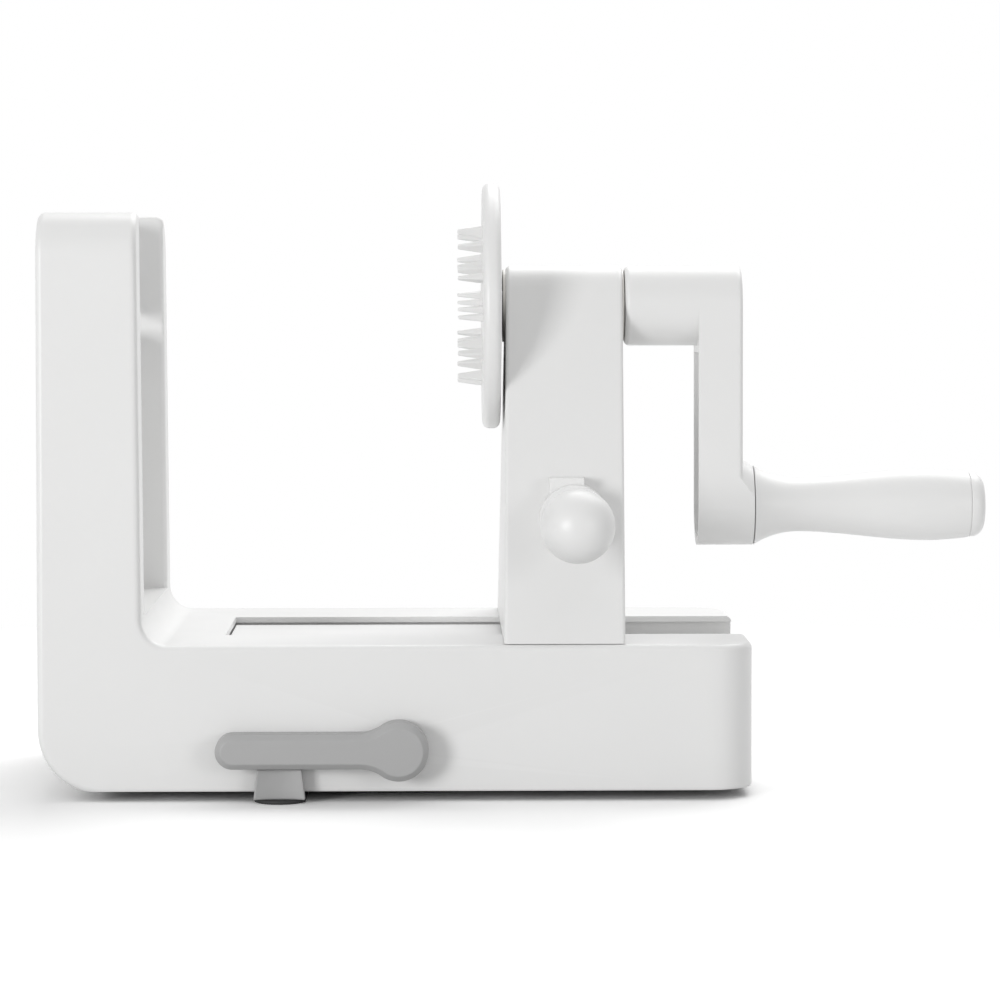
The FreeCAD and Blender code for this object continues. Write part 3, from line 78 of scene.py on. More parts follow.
class Slot(Enum):
    """The finishes that the record names."""

    WHITE = "white_plastic"
    GREY = "grey_plastic"
    DARK = "dark_plastic"
    SLIDE = "slide_plastic"
    RUBBER = "dark_rubber"
    BLADE = "blade_steel"
    STEEL = "plain_steel"


class Axis(Enum):
    """The axis that a turned or padded piece follows."""

    X = "x"
    Y = "y"
    Z = "z"


# Effects that several finishes share


class NodeTree:
    """A thin helper that adds and wires nodes in one tree."""

    def __init__(self, tree: bpy.types.NodeTree) -> None:
        """Keeps the tree."""
        self.tree = tree

    def add(self, kind: str, **values: object) -> bpy.types.Node:
        """Adds a node.

        Args:
            kind: the node's type name.
            values: its properties by name; a name that starts with in_ sets the input of that number.

        Returns:
            The new node.
        """
        node = self.tree.nodes.new(kind)
        for name, value in values.items():
            if name.startswith("in_"):
                self.plug(value, node.inputs[int(name[3:])])
            else:
                setattr(node, name, value)
        return node

    def plug(self, value: object, socket: bpy.types.NodeSocket) -> None:
        """Links an output to a socket, or sets the socket's own value."""
        if isinstance(value, bpy.types.NodeSocket):
            self.tree.links.new(value, socket)
        else:
            socket.default_value = value

    def maths(self, operation: str, first: object, second: object = 0.0) -> bpy.types.NodeSocket:
        """The result of one arithmetic step."""
        return self.add("ShaderNodeMath", operation=operation, in_0=first, in_1=second).outputs[0]


def cleared(owner: bpy.types.Material | bpy.types.World) -> NodeTree:
    """The emptied node tree of a material or a world."""
    owner.use_nodes = True
    owner.node_tree.nodes.clear()
    return NodeTree(owner.node_tree)


class Effects:
    """Shader node groups, each built once and placed in every material that needs it."""

    def __init__(self) -> None:
        """Builds the groups."""
        self.grain = self._grain()
        self.tone = self._tone()
        self.gloss = self._gloss()
        self.edge_sheen = self._edge_sheen()
        self.brushing = self._brushing()

    @staticmethod
    def _group(name: str, inputs: dict[str, tuple], outputs: dict[str, str]) -> tuple:
        """Starts a group with named sockets.

        Args:
            name: the group's name.
            inputs: socket type and default value by socket name.
            outputs: socket type by socket name.

        Returns:
            The group, its helper, its input node and its output node.
        """
        group = bpy.data.node_groups.new(name, "ShaderNodeTree")
        for label, (kind, default) in inputs.items():
            socket = group.interface.new_socket(label, in_out="INPUT", socket_type=kind)
            if default is not None:
                socket.default_value = default
        for label, kind in outputs.items():
            group.interface.new_socket(label, in_out="OUTPUT", socket_type=kind)
        tree = NodeTree(group)
        return group, tree, tree.add("NodeGroupInput"), tree.add("NodeGroupOutput")

    def _grain(self) -> bpy.types.NodeTree:
        """The fine even texture of a spark-eroded mould."""
        group, tree, given, out = self._group(
            "mould_grain",
            {
                "Vector": ("NodeSocketVector", None),
                "Grains per metre": ("NodeSocketFloat", 1400.0),
                "Ripple per metre": ("NodeSocketFloat", 60.0),
                "Ripple share": ("NodeSocketFloat", 0.3),
            },
            {"Height": "NodeSocketFloat"},
        )
        fine = tree.add("ShaderNodeTexNoise", in_0=given.outputs[0], in_2=given.outputs[1], in_3=3.0)
        slow = tree.add("ShaderNodeTexNoise", in_0=given.outputs[0], in_2=given.outputs[2], in_3=1.0)
        share = tree.maths("MULTIPLY", slow.outputs[0], given.outputs[3])
        tree.plug(tree.maths("ADD", fine.outputs[0], share), out.inputs[0])
        return group

    def _tone(self) -> bpy.types.NodeTree:
        """A slow drift between two near colours."""
        group, tree, given, out = self._group(
            "tone_drift",
            {
                "Vector": ("NodeSocketVector", None),
                "Patches per metre": ("NodeSocketFloat", 14.0),
                "First": ("NodeSocketColor", (1, 1, 1, 1)),
                "Second": ("NodeSocketColor", (1, 1, 1, 1)),
            },
            {"Color": "NodeSocketColor"},
        )
        noise = tree.add("ShaderNodeTexNoise", in_0=given.outputs[0], in_2=given.outputs[1], in_3=2.0)
        spread = tree.add("ShaderNodeMapRange", in_0=noise.outputs[0], in_1=0.35, in_2=0.65)
        mix = tree.add("ShaderNodeMix", data_type="RGBA")
        tree.plug(spread.outputs[0], mix.inputs[0])
        tree.plug(given.outputs[2], mix.inputs[6])
        tree.plug(given.outputs[3], mix.inputs[7])
        tree.plug(mix.outputs[2], out.inputs[0])
        return group

    def _gloss(self) -> bpy.types.NodeTree:
        """Roughness that wanders between two limits, with faint handling marks."""
        group, tree, given, out = self._group(
            "gloss_drift",
            {
                "Vector": ("NodeSocketVector", None),
                "Patches per metre": ("NodeSocketFloat", 30.0),
                "Smoothest": ("NodeSocketFloat", 0.3),
                "Roughest": ("NodeSocketFloat", 0.5),
                "Marks": ("NodeSocketFloat", 0.05),
            },
            {"Roughness": "NodeSocketFloat"},
        )
        noise = tree.add("ShaderNodeTexNoise", in_0=given.outputs[0], in_2=given.outputs[1], in_3=4.0)
        spread = tree.add(
            "ShaderNodeMapRange", in_0=noise.outputs[0], in_1=0.3, in_2=0.7,
            in_3=given.outputs[2], in_4=given.outputs[3],
        )
        stretch = tree.add("ShaderNodeMapping", in_0=given.outputs[0], in_2=(0.4, 0.2, 0.7), in_3=(30, 400, 90))
        lines = tree.add("ShaderNodeTexNoise", in_0=stretch.outputs[0], in_2=2.0, in_3=1.0)
        sharp = tree.add("ShaderNodeMapRange", in_0=lines.outputs[0], in_1=0.68, in_2=0.74)
        marks = tree.maths("MULTIPLY", sharp.outputs[0], given.outputs[4])
        tree.plug(tree.maths("ADD", spread.outputs[0], marks), out.inputs[0])
        return group

    def _edge_sheen(self) -> bpy.types.NodeTree:
        """A painted highlight: the colour pales on raised edges, where light would catch them."""
        group, tree, given, out = self._group(
            "rubbed_edges",
            {
                "Color": ("NodeSocketColor", (1, 1, 1, 1)),
                "Rubbed": ("NodeSocketColor", (1, 1, 1, 1)),
                "Amount": ("NodeSocketFloat", 0.4),
            },
            {"Color": "NodeSocketColor"},
        )
        shape = tree.add("ShaderNodeNewGeometry")
        # Pointiness finds the raised edges that the painted highlight lightens.
        edge = tree.add("ShaderNodeMapRange", in_0=shape.outputs["Pointiness"], in_1=0.52, in_2=0.6)
        mask = tree.maths("MULTIPLY", edge.outputs[0], given.outputs[2])
        mix = tree.add("ShaderNodeMix", data_type="RGBA")
        tree.plug(mask, mix.inputs[0])
        tree.plug(given.outputs[0], mix.inputs[6])
        tree.plug(given.outputs[1], mix.inputs[7])
        tree.plug(mix.outputs[2], out.inputs[0])
        return group

    def _brushing(self) -> bpy.types.NodeTree:
        """Fine parallel lines left by grinding."""
        group, tree, given, out = self._group(
            "ground_lines",
            {"Vector": ("NodeSocketVector", None), "Stretch": ("NodeSocketVector", (40.0, 3000.0, 3000.0))},
            {"Height": "NodeSocketFloat"},
        )
        stretch = tree.add("ShaderNodeMapping", in_0=given.outputs[0], in_3=given.outputs[1])
        lines = tree.add("ShaderNodeTexNoise", in_0=stretch.outputs[0], in_2=1.0, in_3=2.0)
        tree.plug(lines.outputs[0], out.inputs[0])
        return group


# Finishes


@dataclass(frozen=True)
class Finish:
    """A moulded or ground surface.

    Attributes:
        name: the material's name.
        colour: linear base colour.
        drift: how far the second colour of the drift falls below the first, as a share.
        sheen_colour: linear colour of the painted highlight on raised edges.
        edge_sheen: how strongly the painted highlight lightens raised edges.
        smoothest: lowest roughness.
        roughest: highest roughness.
        grains: texture grains per metre.
        depth: texture depth in millimetres.
        metal: 1 for metal.
        lined: whether ground lines take the place of grains.
    """

    name: str
    colour: tuple[float, float, float]
    drift: float = 0.015
    sheen_colour: tuple[float, float, float] = (0.9, 0.9, 0.9)
    edge_sheen: float = 0.2
    smoothest: float = 0.34
    roughest: float = 0.42
    grains: float = 1500.0
    depth: float = 0.012
    metal: float = 0.0
    lined: bool = False

    def material(self, effects: Effects) -> bpy.types.Material:
        """Builds the material.

        Args:
            effects: the shared groups.

        Returns:
            A material with one Principled shader.
        """
        material = bpy.data.materials.new(self.name)
        tree = cleared(material)
        place = tree.add("ShaderNodeTexCoord").outputs["Object"]
        first = (*self.colour, 1)
        second = (*(c * (1 - self.drift) for c in self.colour), 1)
        tone = tree.add("ShaderNodeGroup", node_tree=effects.tone, in_0=place, in_2=first, in_3=second)
        # Painted highlight: raised edges pale towards the lighter edge colour.
        edge_sheen = tree.add(
            "ShaderNodeGroup", node_tree=effects.edge_sheen,
            in_0=tone.outputs[0], in_1=(*self.sheen_colour, 1), in_2=self.edge_sheen,
        )
        gloss = tree.add(
            "ShaderNodeGroup", node_tree=effects.gloss, in_0=place, in_2=self.smoothest, in_3=self.roughest
        )
        if self.lined:
            relief = tree.add("ShaderNodeGroup", node_tree=effects.brushing, in_0=place)
        else:
            relief = tree.add("ShaderNodeGroup", node_tree=effects.grain, in_0=place, in_1=self.grains)
        bump = tree.add("ShaderNodeBump")
        bump.inputs["Distance"].default_value = self.depth * MM
        bump.inputs["Strength"].default_value = 1.0
        tree.plug(relief.outputs[0], bump.inputs["Height"])
        shader = tree.add("ShaderNodeBsdfPrincipled")
        tree.plug(edge_sheen.outputs[0], shader.inputs["Base Color"])
        tree.plug(gloss.outputs[0], shader.inputs["Roughness"])
        tree.plug(bump.outputs[0], shader.inputs["Normal"])
        shader.inputs["Metallic"].default_value = self.metal
        out = tree.add("ShaderNodeOutputMaterial")
        tree.plug(shader.outputs[0], out.inputs[0])
        return material


# Each finish's lighter edge colour and its strength make a painted highlight on raised edges.
FINISHES: dict[Slot, Finish] = {
    Slot.WHITE: Finish("satin_white", (0.80, 0.80, 0.795), sheen_colour=(0.86, 0.86, 0.86)),
    Slot.GREY: Finish("satin_grey", (0.40, 0.40, 0.40), sheen_colour=(0.47, 0.47, 0.47), smoothest=0.4, roughest=0.5),
    Slot.DARK: Finish(
        "satin_dark", (0.022, 0.022, 0.024), drift=0.15, sheen_colour=(0.06, 0.06, 0.06), edge_sheen=0.5,
        smoothest=0.42, roughest=0.52, grains=1200.0, depth=0.02,
    ),
    Slot.SLIDE: Finish(
        "bearing_plastic", (0.68, 0.67, 0.63), drift=0.03, sheen_colour=(0.75, 0.75, 0.72), edge_sheen=0.2,
        smoothest=0.22, roughest=0.3, grains=900.0, depth=0.004,
    ),
    Slot.RUBBER: Finish(
        "matt_rubber", (0.018, 0.018, 0.019), drift=0.2, sheen_colour=(0.05, 0.05, 0.05), edge_sheen=0.6,
        smoothest=0.6, roughest=0.75, grains=900.0, depth=0.02,
    ),
    Slot.BLADE: Finish(
        "ground_steel", (0.62, 0.63, 0.64), drift=0.05, sheen_colour=(0.8, 0.8, 0.8), edge_sheen=0.5,
        smoothest=0.16, roughest=0.28, depth=0.003, metal=1.0, lined=True,
    ),
    Slot.STEEL: Finish(
        "plated_steel", (0.56, 0.56, 0.57), drift=0.06, sheen_colour=(0.75, 0.75, 0.75), edge_sheen=0.5,
        smoothest=0.2, roughest=0.34, grains=800.0, depth=0.004, metal=1.0,
    ),
}


class Paintbox:
    """The finished materials by slot."""

    def __init__(self) -> None:
        """Builds one material for each slot."""
        effects = Effects()
        self.materials = {slot: finish.material(effects) for slot, finish in FINISHES.items()}

    def coat(self, piece: bpy.types.Object, slot: Slot) -> None:
        """Gives a piece its one material."""
        piece.data.materials.clear()
        piece.data.materials.append(self.materials[slot])


# Making meshes


@dataclass(frozen=True)
class Corner:
    """A corner of an outline with the radius of its round, and how many steps the round has."""

    u: float
    v: float
    radius: float = 0.0
    steps: int = 10


def smooth_outline(corners: list[Corner], closed: bool = True) -> list[tuple[float, float]]:
    """Points along an outline with every corner rounded.

    Args:
        corners: the corners in order.
        closed: whether the last corner joins the first.

    Returns:
        The points, in millimetres.
    """
    points: list[tuple[float, float]] = []
    count = len(corners)
    for index, corner in enumerate(corners):
        here = Vector((corner.u, corner.v))
        if corner.radius <= 0 or (not closed and index in (0, count - 1)):
            points.append((here.x, here.y))
            continue
        before = corners[index - 1]
        after = corners[(index + 1) % count]
        back = (Vector((before.u, before.v)) - here).normalized()
        ahead = (Vector((after.u, after.v)) - here).normalized()
        half = back.angle(ahead) / 2
        reach = corner.radius / math.tan(half)
        centre = here + (back + ahead).normalized() * (corner.radius / math.sin(half))
        start = here + back * reach - centre
        turn = math.pi - 2 * half
        sense = 1 if back.x * ahead.y - back.y * ahead.x < 0 else -1
        for step in range(corner.steps + 1):
            spot = centre + Matrix.Rotation(sense * turn * step / corner.steps, 2) @ start
            points.append((spot.x, spot.y))
    return points


def arc(
    centre: tuple[float, float], radius: float, start: float, sweep: float, steps: int
) -> list[tuple[float, float]]:
    """Points along an arc, whose start and sweep are in radians."""
    angles = [start + sweep * i / steps for i in range(steps + 1)]
    return [(centre[0] + radius * math.cos(a), centre[1] + radius * math.sin(a)) for a in angles]


def new_piece(name: str, data: bpy.types.ID) -> bpy.types.Object:
    """An object for a mesh, a lamp or a camera, in the scene."""
    piece = bpy.data.objects.new(name, data)
    bpy.context.scene.collection.objects.link(piece)
    return piece


def mesh_from(name: str, work: bmesh.types.BMesh, keep_facing: bool = False) -> bpy.types.Mesh:
    """Turns working geometry into a smooth-shaded mesh whose faces point outwards."""
    if not keep_facing:
        bmesh.ops.recalc_face_normals(work, faces=work.faces)
    mesh = bpy.data.meshes.new(name)
    work.to_mesh(mesh)
    work.free()
    for face in mesh.polygons:
        face.use_smooth = True
    return mesh


def piece_from(name: str, work: bmesh.types.BMesh) -> bpy.types.Object:
    """An object for working geometry, in the scene."""
    return new_piece(name, mesh_from(name, work))


def sharpen(piece: bpy.types.Object, degrees: float) -> None:
    """Marks a piece's edges as sharp where they turn by more than an angle."""
    piece.data.set_sharp_from_angle(angle=math.radians(degrees))


def add_turned(
    work: bmesh.types.BMesh,
    profile: list[tuple[float, float]],
    centre: tuple[float, float],
    axis: Axis,
    steps: int,
) -> None:
    """Adds a turned form.

    Args:
        work: the geometry it goes in.
        profile: (along, radius) points; where the first and last radius are 0 the form is closed by poles,
            otherwise the profile is closed on itself.
        centre: the axis's place on the other two axes, in their order.
        axis: the axis it turns about.
        steps: how many flats go round.
    """
    rings: list[list[bmesh.types.BMVert]] = []
    for along, radius in profile:
        if radius < POLE:
            rings.append([work.verts.new(spin_point(along, 0, 0, centre, axis))])
            continue
        rings.append(
            [
                work.verts.new(spin_point(along, radius, FULL_TURN * i / steps, centre, axis))
                for i in range(steps)
            ]
        )
    poled = len(rings[0]) == 1
    pairs = list(zip(rings, rings[1:])) if poled else list(zip(rings, rings[1:] + rings[:1]))
    for low, high in pairs:
        for i in range(steps):
            j = (i + 1) % steps
            if len(low) == 1 and len(high) == 1:
                continue
            if len(low) == 1:
                work.faces.new((low[0], high[j], high[i]))
            elif len(high) == 1:
                work.faces.new((low[i], low[j], high[0]))
            else:
                work.faces.new((low[i], low[j], high[j], high[i]))


def spin_point(along: float, radius: float, angle: float, centre: tuple[float, float], axis: Axis) -> Vector:
    """The frame point at an angle round an axis."""
    u, v = centre[0] + radius * math.cos(angle), centre[1] + radius * math.sin(angle)
    if axis is Axis.X:
        return Vector((along, u, v)) * MM
    if axis is Axis.Y:
        return Vector((u, along, v)) * MM
    return Vector((u, v, along)) * MM


def turned(
    name: str, corners: list[Corner], centre: tuple[float, float], axis: Axis, steps: int = 128
) -> bpy.types.Object:
    """A turned piece from the corners of its profile, each (along, radius)."""
    work = bmesh.new()
    open_ends = corners[0].v == 0 and corners[-1].v == 0
    profile = smooth_outline(corners, closed=not open_ends)
    add_turned(work, profile, centre, axis, steps)
    return piece_from(name, work)


def add_prism(
    work: bmesh.types.BMesh, outline: list[tuple[float, float]], low: float, high: float, axis: Axis
) -> None:
    """Adds an outline padded along an axis; its two numbers are on the other two axes in their order."""
    ends = []
    for level in (low, high):
        ends.append([work.verts.new(pad_point(u, v, level, axis)) for u, v in outline])
    work.faces.new(ends[0])
    work.faces.new(list(reversed(ends[1])))
    count = len(outline)
    for i in range(count):
        j = (i + 1) % count
        work.faces.new((ends[0][j], ends[0][i], ends[1][i], ends[1][j]))


def pad_point(u: float, v: float, level: float, axis: Axis) -> Vector:
    """A frame point from two outline numbers and a level along the axis."""
    if axis is Axis.X:
        return Vector((level, u, v)) * MM
    if axis is Axis.Y:
        return Vector((u, level, v)) * MM
    return Vector((u, v, level)) * MM


def edge_round(piece: bpy.types.Object, width: float, steps: int = 3, angle: float = 40.0) -> None:
    """Rounds every sharp edge of a piece and evens its shading.

    Args:
        piece: the object.
        width: the round's width in millimetres.
        steps: segments in each round.
        angle: edges sharper than this many degrees are rounded.
    """
    bevel = piece.modifiers.new("edge_round", "BEVEL")
    bevel.width = width * MM
    bevel.segments = steps
    bevel.limit_method = "ANGLE"
    bevel.angle_limit = math.radians(angle)
    bevel.miter_outer = "MITER_ARC"
    bevel.harden_normals = False
    settle(piece)


def settle(piece: bpy.types.Object, even: bool = True) -> None:
    """Bakes a piece's modifiers into its mesh and weights its normals by face area."""
    if even:
        weighted = piece.modifiers.new("even_shading", "WEIGHTED_NORMAL")
        weighted.mode = "FACE_AREA"
        weighted.weight = 80
        weighted.keep_sharp = True
    view = bpy.context.evaluated_depsgraph_get()
    mesh = bpy.data.meshes.new_from_object(piece.evaluated_get(view))
    mesh.name = piece.name
    piece.modifiers.clear()
    old = piece.data
    piece.data = mesh
    bpy.data.meshes.remove(old)


def refined(node: str, name: str, width: float, steps: int = 3) -> bpy.types.Object:
    """A copy of a frame node, cleaned of its loose triangles and with its sharp edges rounded.

    Args:
        node: the frame node's name.
        name: the new piece's name.
        width: the round's width in millimetres.
        steps: segments in each round.

    Returns:
        The new piece.
    """
    work = bmesh.new()
    work.from_mesh(frame["nodes"][node].data)
    bmesh.ops.remove_doubles(work, verts=work.verts, dist=WELD)
    bmesh.ops.dissolve_limit(
        work, angle_limit=math.radians(0.3), verts=work.verts, edges=work.edges, use_dissolve_boundaries=False
    )
    mesh = mesh_from(name, work, keep_facing=True)
    mesh.set_sharp_from_angle(angle=math.radians(32))
    piece = new_piece(name, mesh)
    edge_round(piece, width, steps)
    return piece


# Repeats


class Repeats:
    """Geometry node trees that set copies of one form on a ring or on a list of spots."""

    def __init__(self) -> None:
        """Builds both trees."""
        self.ring = self._ring()
        self.spots = self._spots()

    @staticmethod
    def _tree(name: str, inputs: dict[str, tuple]) -> tuple:
        """Starts a geometry tree with a Form, a Finish and further named inputs."""
        group = bpy.data.node_groups.new(name, "GeometryNodeTree")
        group.interface.new_socket("Geometry", in_out="OUTPUT", socket_type="NodeSocketGeometry")
        group.interface.new_socket("Geometry", in_out="INPUT", socket_type="NodeSocketGeometry")
        group.interface.new_socket("Form", in_out="INPUT", socket_type="NodeSocketObject")
        group.interface.new_socket("Finish", in_out="INPUT", socket_type="NodeSocketMaterial")
        for label, (kind, default) in inputs.items():
            group.interface.new_socket(label, in_out="INPUT", socket_type=kind).default_value = default
        tree = NodeTree(group)
        return group, tree, tree.add("NodeGroupInput"), tree.add("NodeGroupOutput")

    @staticmethod
    def _close(
        tree: NodeTree, given: bpy.types.Node, copies: bpy.types.NodeSocket, out: bpy.types.Node
    ) -> None:
        """Ends a tree in real geometry with its finish."""
        real = tree.add("GeometryNodeRealizeInstances", in_0=copies)
        dressed = tree.add("GeometryNodeSetMaterial", in_0=real.outputs[0])
        tree.plug(given.outputs["Finish"], dressed.inputs["Material"])
        tree.plug(dressed.outputs[0], out.inputs[0])

    def _ring(self) -> bpy.types.NodeTree:
        """Copies round an axis parallel to X, each turned with its place."""
        group, tree, given, out = self._tree(
            "ring_of_forms",
            {
                "Count": ("NodeSocketInt", 12),
                "Radius": ("NodeSocketFloat", 0.02),
                "First turn": ("NodeSocketFloat", 0.0),
                "Centre": ("NodeSocketVector", (0, 0, 0)),
            },
        )
        order = tree.add("GeometryNodeInputIndex").outputs[0]
        part = tree.maths("DIVIDE", order, given.outputs["Count"])
        angle = tree.maths("ADD", tree.maths("MULTIPLY", part, FULL_TURN), given.outputs["First turn"])
        side = tree.maths("MULTIPLY", tree.maths("COSINE", angle), given.outputs["Radius"])
        rise = tree.maths("MULTIPLY", tree.maths("SINE", angle), given.outputs["Radius"])
        spot = tree.add("ShaderNodeCombineXYZ", in_0=0.0, in_1=side, in_2=rise)
        place = tree.add("ShaderNodeVectorMath", operation="ADD", in_0=spot.outputs[0])
        tree.plug(given.outputs["Centre"], place.inputs[1])
        points = tree.add("GeometryNodePoints")
        tree.plug(given.outputs["Count"], points.inputs["Count"])
        tree.plug(place.outputs[0], points.inputs["Position"])
        form = tree.add("GeometryNodeObjectInfo")
        tree.plug(given.outputs["Form"], form.inputs["Object"])
        turn = tree.add("ShaderNodeCombineXYZ", in_0=angle)
        copies = tree.add("GeometryNodeInstanceOnPoints")
        tree.plug(points.outputs[0], copies.inputs["Points"])
        tree.plug(form.outputs["Geometry"], copies.inputs["Instance"])
        tree.plug(turn.outputs[0], copies.inputs["Rotation"])
        self._close(tree, given, copies.outputs[0], out)
        return group

    def _spots(self) -> bpy.types.NodeTree:
        """A copy at each point of the host mesh, all turned alike."""
        group, tree, given, out = self._tree("forms_on_spots", {"Turn": ("NodeSocketVector", (0, 0, 0))})
        form = tree.add("GeometryNodeObjectInfo")
        tree.plug(given.outputs["Form"], form.inputs["Object"])
        copies = tree.add("GeometryNodeInstanceOnPoints")
        tree.plug(given.outputs["Geometry"], copies.inputs["Points"])
        tree.plug(form.outputs["Geometry"], copies.inputs["Instance"])
        tree.plug(given.outputs["Turn"], copies.inputs["Rotation"])
        self._close(tree, given, copies.outputs[0], out)
        return group

    @staticmethod
    def _run(
        name: str, group: bpy.types.NodeTree, host: bpy.types.Mesh, values: dict[str, object]
    ) -> bpy.types.Object:
        """Runs a tree on a host mesh and keeps the result as a plain piece."""
        piece = new_piece(name, host)
        modifier = piece.modifiers.new("repeat", "NODES")
        modifier.node_group = group
        names = {item.name: item.identifier for item in group.interface.items_tree if item.in_out == "INPUT"}
        for label, value in values.items():
            modifier[names[label]] = value
        settle(piece, even=False)
        piece.data.name = name
        return piece

    def round_axis(
        self, name: str, form: bpy.types.Object, finish: bpy.types.Material, count: int, radius: float,
        turn: float, centre: tuple[float, float, float],
    ) -> bpy.types.Object:
        """Sets copies of a form round an axis parallel to X.

        Args:
            name: the new piece's name.
            form: the object that is copied, modelled at the origin.
            finish: its material.
            count: how many.
            radius: the ring's radius in millimetres.
            turn: the first copy's angle in degrees from +Y.
            centre: the ring's centre in millimetres.

        Returns:
            The new piece.
        """
        values = {
            "Form": form, "Finish": finish, "Count": count, "Radius": radius * MM,
            "First turn": math.radians(turn), "Centre": [c * MM for c in centre],
        }
        return self._run(name, self.ring, bpy.data.meshes.new(name), values)

    def on_spots(
        self, name: str, form: bpy.types.Object, finish: bpy.types.Material,
        spots: list[tuple[float, float, float]], turn: tuple[float, float, float] = (0, 0, 0),
    ) -> bpy.types.Object:
        """Sets a copy of a form on each spot.

        Args:
            name: the new piece's name.
            form: the object that is copied, modelled at the origin.
            finish: its material.
            spots: the places in millimetres.
            turn: the copies' rotation in degrees about X, Y and Z.

        Returns:
            The new piece.
        """
        host = bpy.data.meshes.new(name)
        host.from_pydata([Vector(s) * MM for s in spots], [], [])
        values = {"Form": form, "Finish": finish, "Turn": [math.radians(t) for t in turn]}
        return self._run(name, self.spots, host, values)


def centres(node: str) -> list[tuple[float, float, float]]:
    """The middle of each separate solid of a frame node, in millimetres."""
    work = bmesh.new()
    work.from_mesh(frame["nodes"][node].data)
    bmesh.ops.remove_doubles(work, verts=work.verts, dist=WELD)
    left = set(work.verts)
    found = []
    while left:
        grown, edge = set(), [left.pop()]
        while edge:
            vert = edge.pop()
            grown.add(vert)
            for link in vert.link_edges:
                other = link.other_vert(vert)
                if other in left:
                    left.discard(other)
                    edge.append(other)
        low = [min(v.co[i] for v in grown) for i in range(3)]
        high = [max(v.co[i] for v in grown) for i in range(3)]
        found.append(tuple((a + b) / 2 / MM for a, b in zip(low, high)))
    work.free()
    return sorted(found)


class Maker:
    """What every sub-assembly shares: the paintbox, the repeats and the way a piece is handed over."""

    def __init__(self, paints: Paintbox, repeats: Repeats) -> None:
        """Keeps the shared tools."""
        self.paints = paints
        self.repeats = repeats

    def finish(self, piece: bpy.types.Object, body: Body, slot: Slot, *nodes: str) -> bpy.types.Object:
        """Dresses a piece, lets it ride on its body and hides the frame nodes it takes the place of.

        Args:
            piece: the finished object.
            body: the body it moves with.
            slot: its finish.
            nodes: the frame nodes it takes the place of.

        Returns:
            The same piece.
        """
        self.paints.coat(piece, slot)
        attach(piece, body.value)
        if nodes:
            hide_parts(*nodes)
        log.info("%s rides on %s", piece.name, body.value)
        return piece


def screw_form(name: str, radius: float, height: float, shank: float) -> bpy.types.Object:
    """A pan head with a cross recess and a short shank, its seat at the origin and its head towards -Z."""
    work = bmesh.new()
    crown = [
        Corner(-height, 0), Corner(-height, radius * 0.75, radius * 0.3, 5),
        Corner(-height * 0.55, radius, 0.3, 4), Corner(0, radius, 0.15, 3), Corner(0, shank),
        Corner(2 * height, shank), Corner(2 * height, 0),
    ]
    add_turned(work, smooth_outline(crown, closed=False), (0, 0), Axis.Z, 40)
    head = piece_from(name, work)
    cutter = bmesh.new()
    half, arm = radius * 0.13, radius * 0.52
    cross = [
        (half, half), (half, arm), (-half, arm), (-half, half), (-arm, half), (-arm, -half),
        (-half, -half), (-half, -arm), (half, -arm), (half, -half), (arm, -half), (arm, half),
    ]
    add_prism(cutter, cross, -height * 1.5, -height * 0.35, Axis.Z)
    tool = piece_from(name + "_recess", cutter)
    carve(head, tool)
    return head


def carve(piece: bpy.types.Object, tool: bpy.types.Object, operation: str = "DIFFERENCE") -> None:
    """Applies one boolean step and removes the tool."""
    step = piece.modifiers.new("carve", "BOOLEAN")
    step.operation = operation
    step.solver = "EXACT"
    step.object = tool
    settle(piece, even=False)
    drop(tool)


def drop(piece: bpy.types.Object) -> None:
    """Removes a working object."""
    mesh = piece.data
    bpy.data.objects.remove(piece)
    bpy.data.meshes.remove(mesh)


# The base


@dataclass
class Housing:
    """The white base with its slot, cover, screws and feet."""

    maker: Maker
    edge: float = 0.45
    bed_edge: float = 0.5
    cover_edge: float = 0.35
    head_radius: float = 3.0
    head_height: float = 1.8
    shank: float = 1.5
    foot_radius: float = 8.0
    foot_height: float = 5.6

    def build(self) -> None:
        """Makes every piece of the base."""
        for node, name, edge, slot in (
            ("body_shell", "housing", self.edge, Slot.WHITE),
            ("track_bed", "slot_bed", self.bed_edge, Slot.WHITE),
            ("bottom_cover", "underside_cover", self.cover_edge, Slot.DARK),
        ):
            self.maker.finish(refined(node, name, edge), Body.BASE, slot, node)
        self.screws()
        self.feet()

    def screws(self) -> None:
        """Makes the screws in the cover and under the slot bed."""
        form = screw_form("cover_screw_form", self.head_radius, self.head_height, self.shank)
        for node, seat in (("cover_screws", "cover_screw_heads"), ("bed_screws", "bed_screw_heads")):
            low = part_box(node)[0].z / MM
            spots = [(x, y, low + self.head_height) for x, y, _ in centres(node)]
            heads = self.maker.repeats.on_spots(seat, form, self.maker.paints.materials[Slot.STEEL], spots)
            self.maker.finish(heads, Body.BASE, Slot.STEEL, node)
        drop(form)

    def feet(self) -> None:
        """Makes the four rubber feet."""
        profile = [
            Corner(0, 0), Corner(0, self.foot_radius * 0.62, 0.4, 3),
            Corner(0.5, self.foot_radius * 0.66, 0.4, 3),
            Corner(0.5, self.foot_radius * 0.78, 0.4, 3), Corner(0, self.foot_radius * 0.82, 0.4, 3),
            Corner(0, self.foot_radius, 1.1, 6), Corner(self.foot_height, self.foot_radius, 0.4, 3),
            Corner(self.foot_height, 0),
        ]
        form = turned("foot_form", profile, (0, 0), Axis.Z, 64)
        spots = [(x, y, 0) for x, y, _ in centres("rubber_feet")]
        feet = self.maker.repeats.on_spots("feet", form, self.maker.paints.materials[Slot.RUBBER], spots)
        drop(form)
        self.maker.finish(feet, Body.BASE, Slot.RUBBER, "rubber_feet")


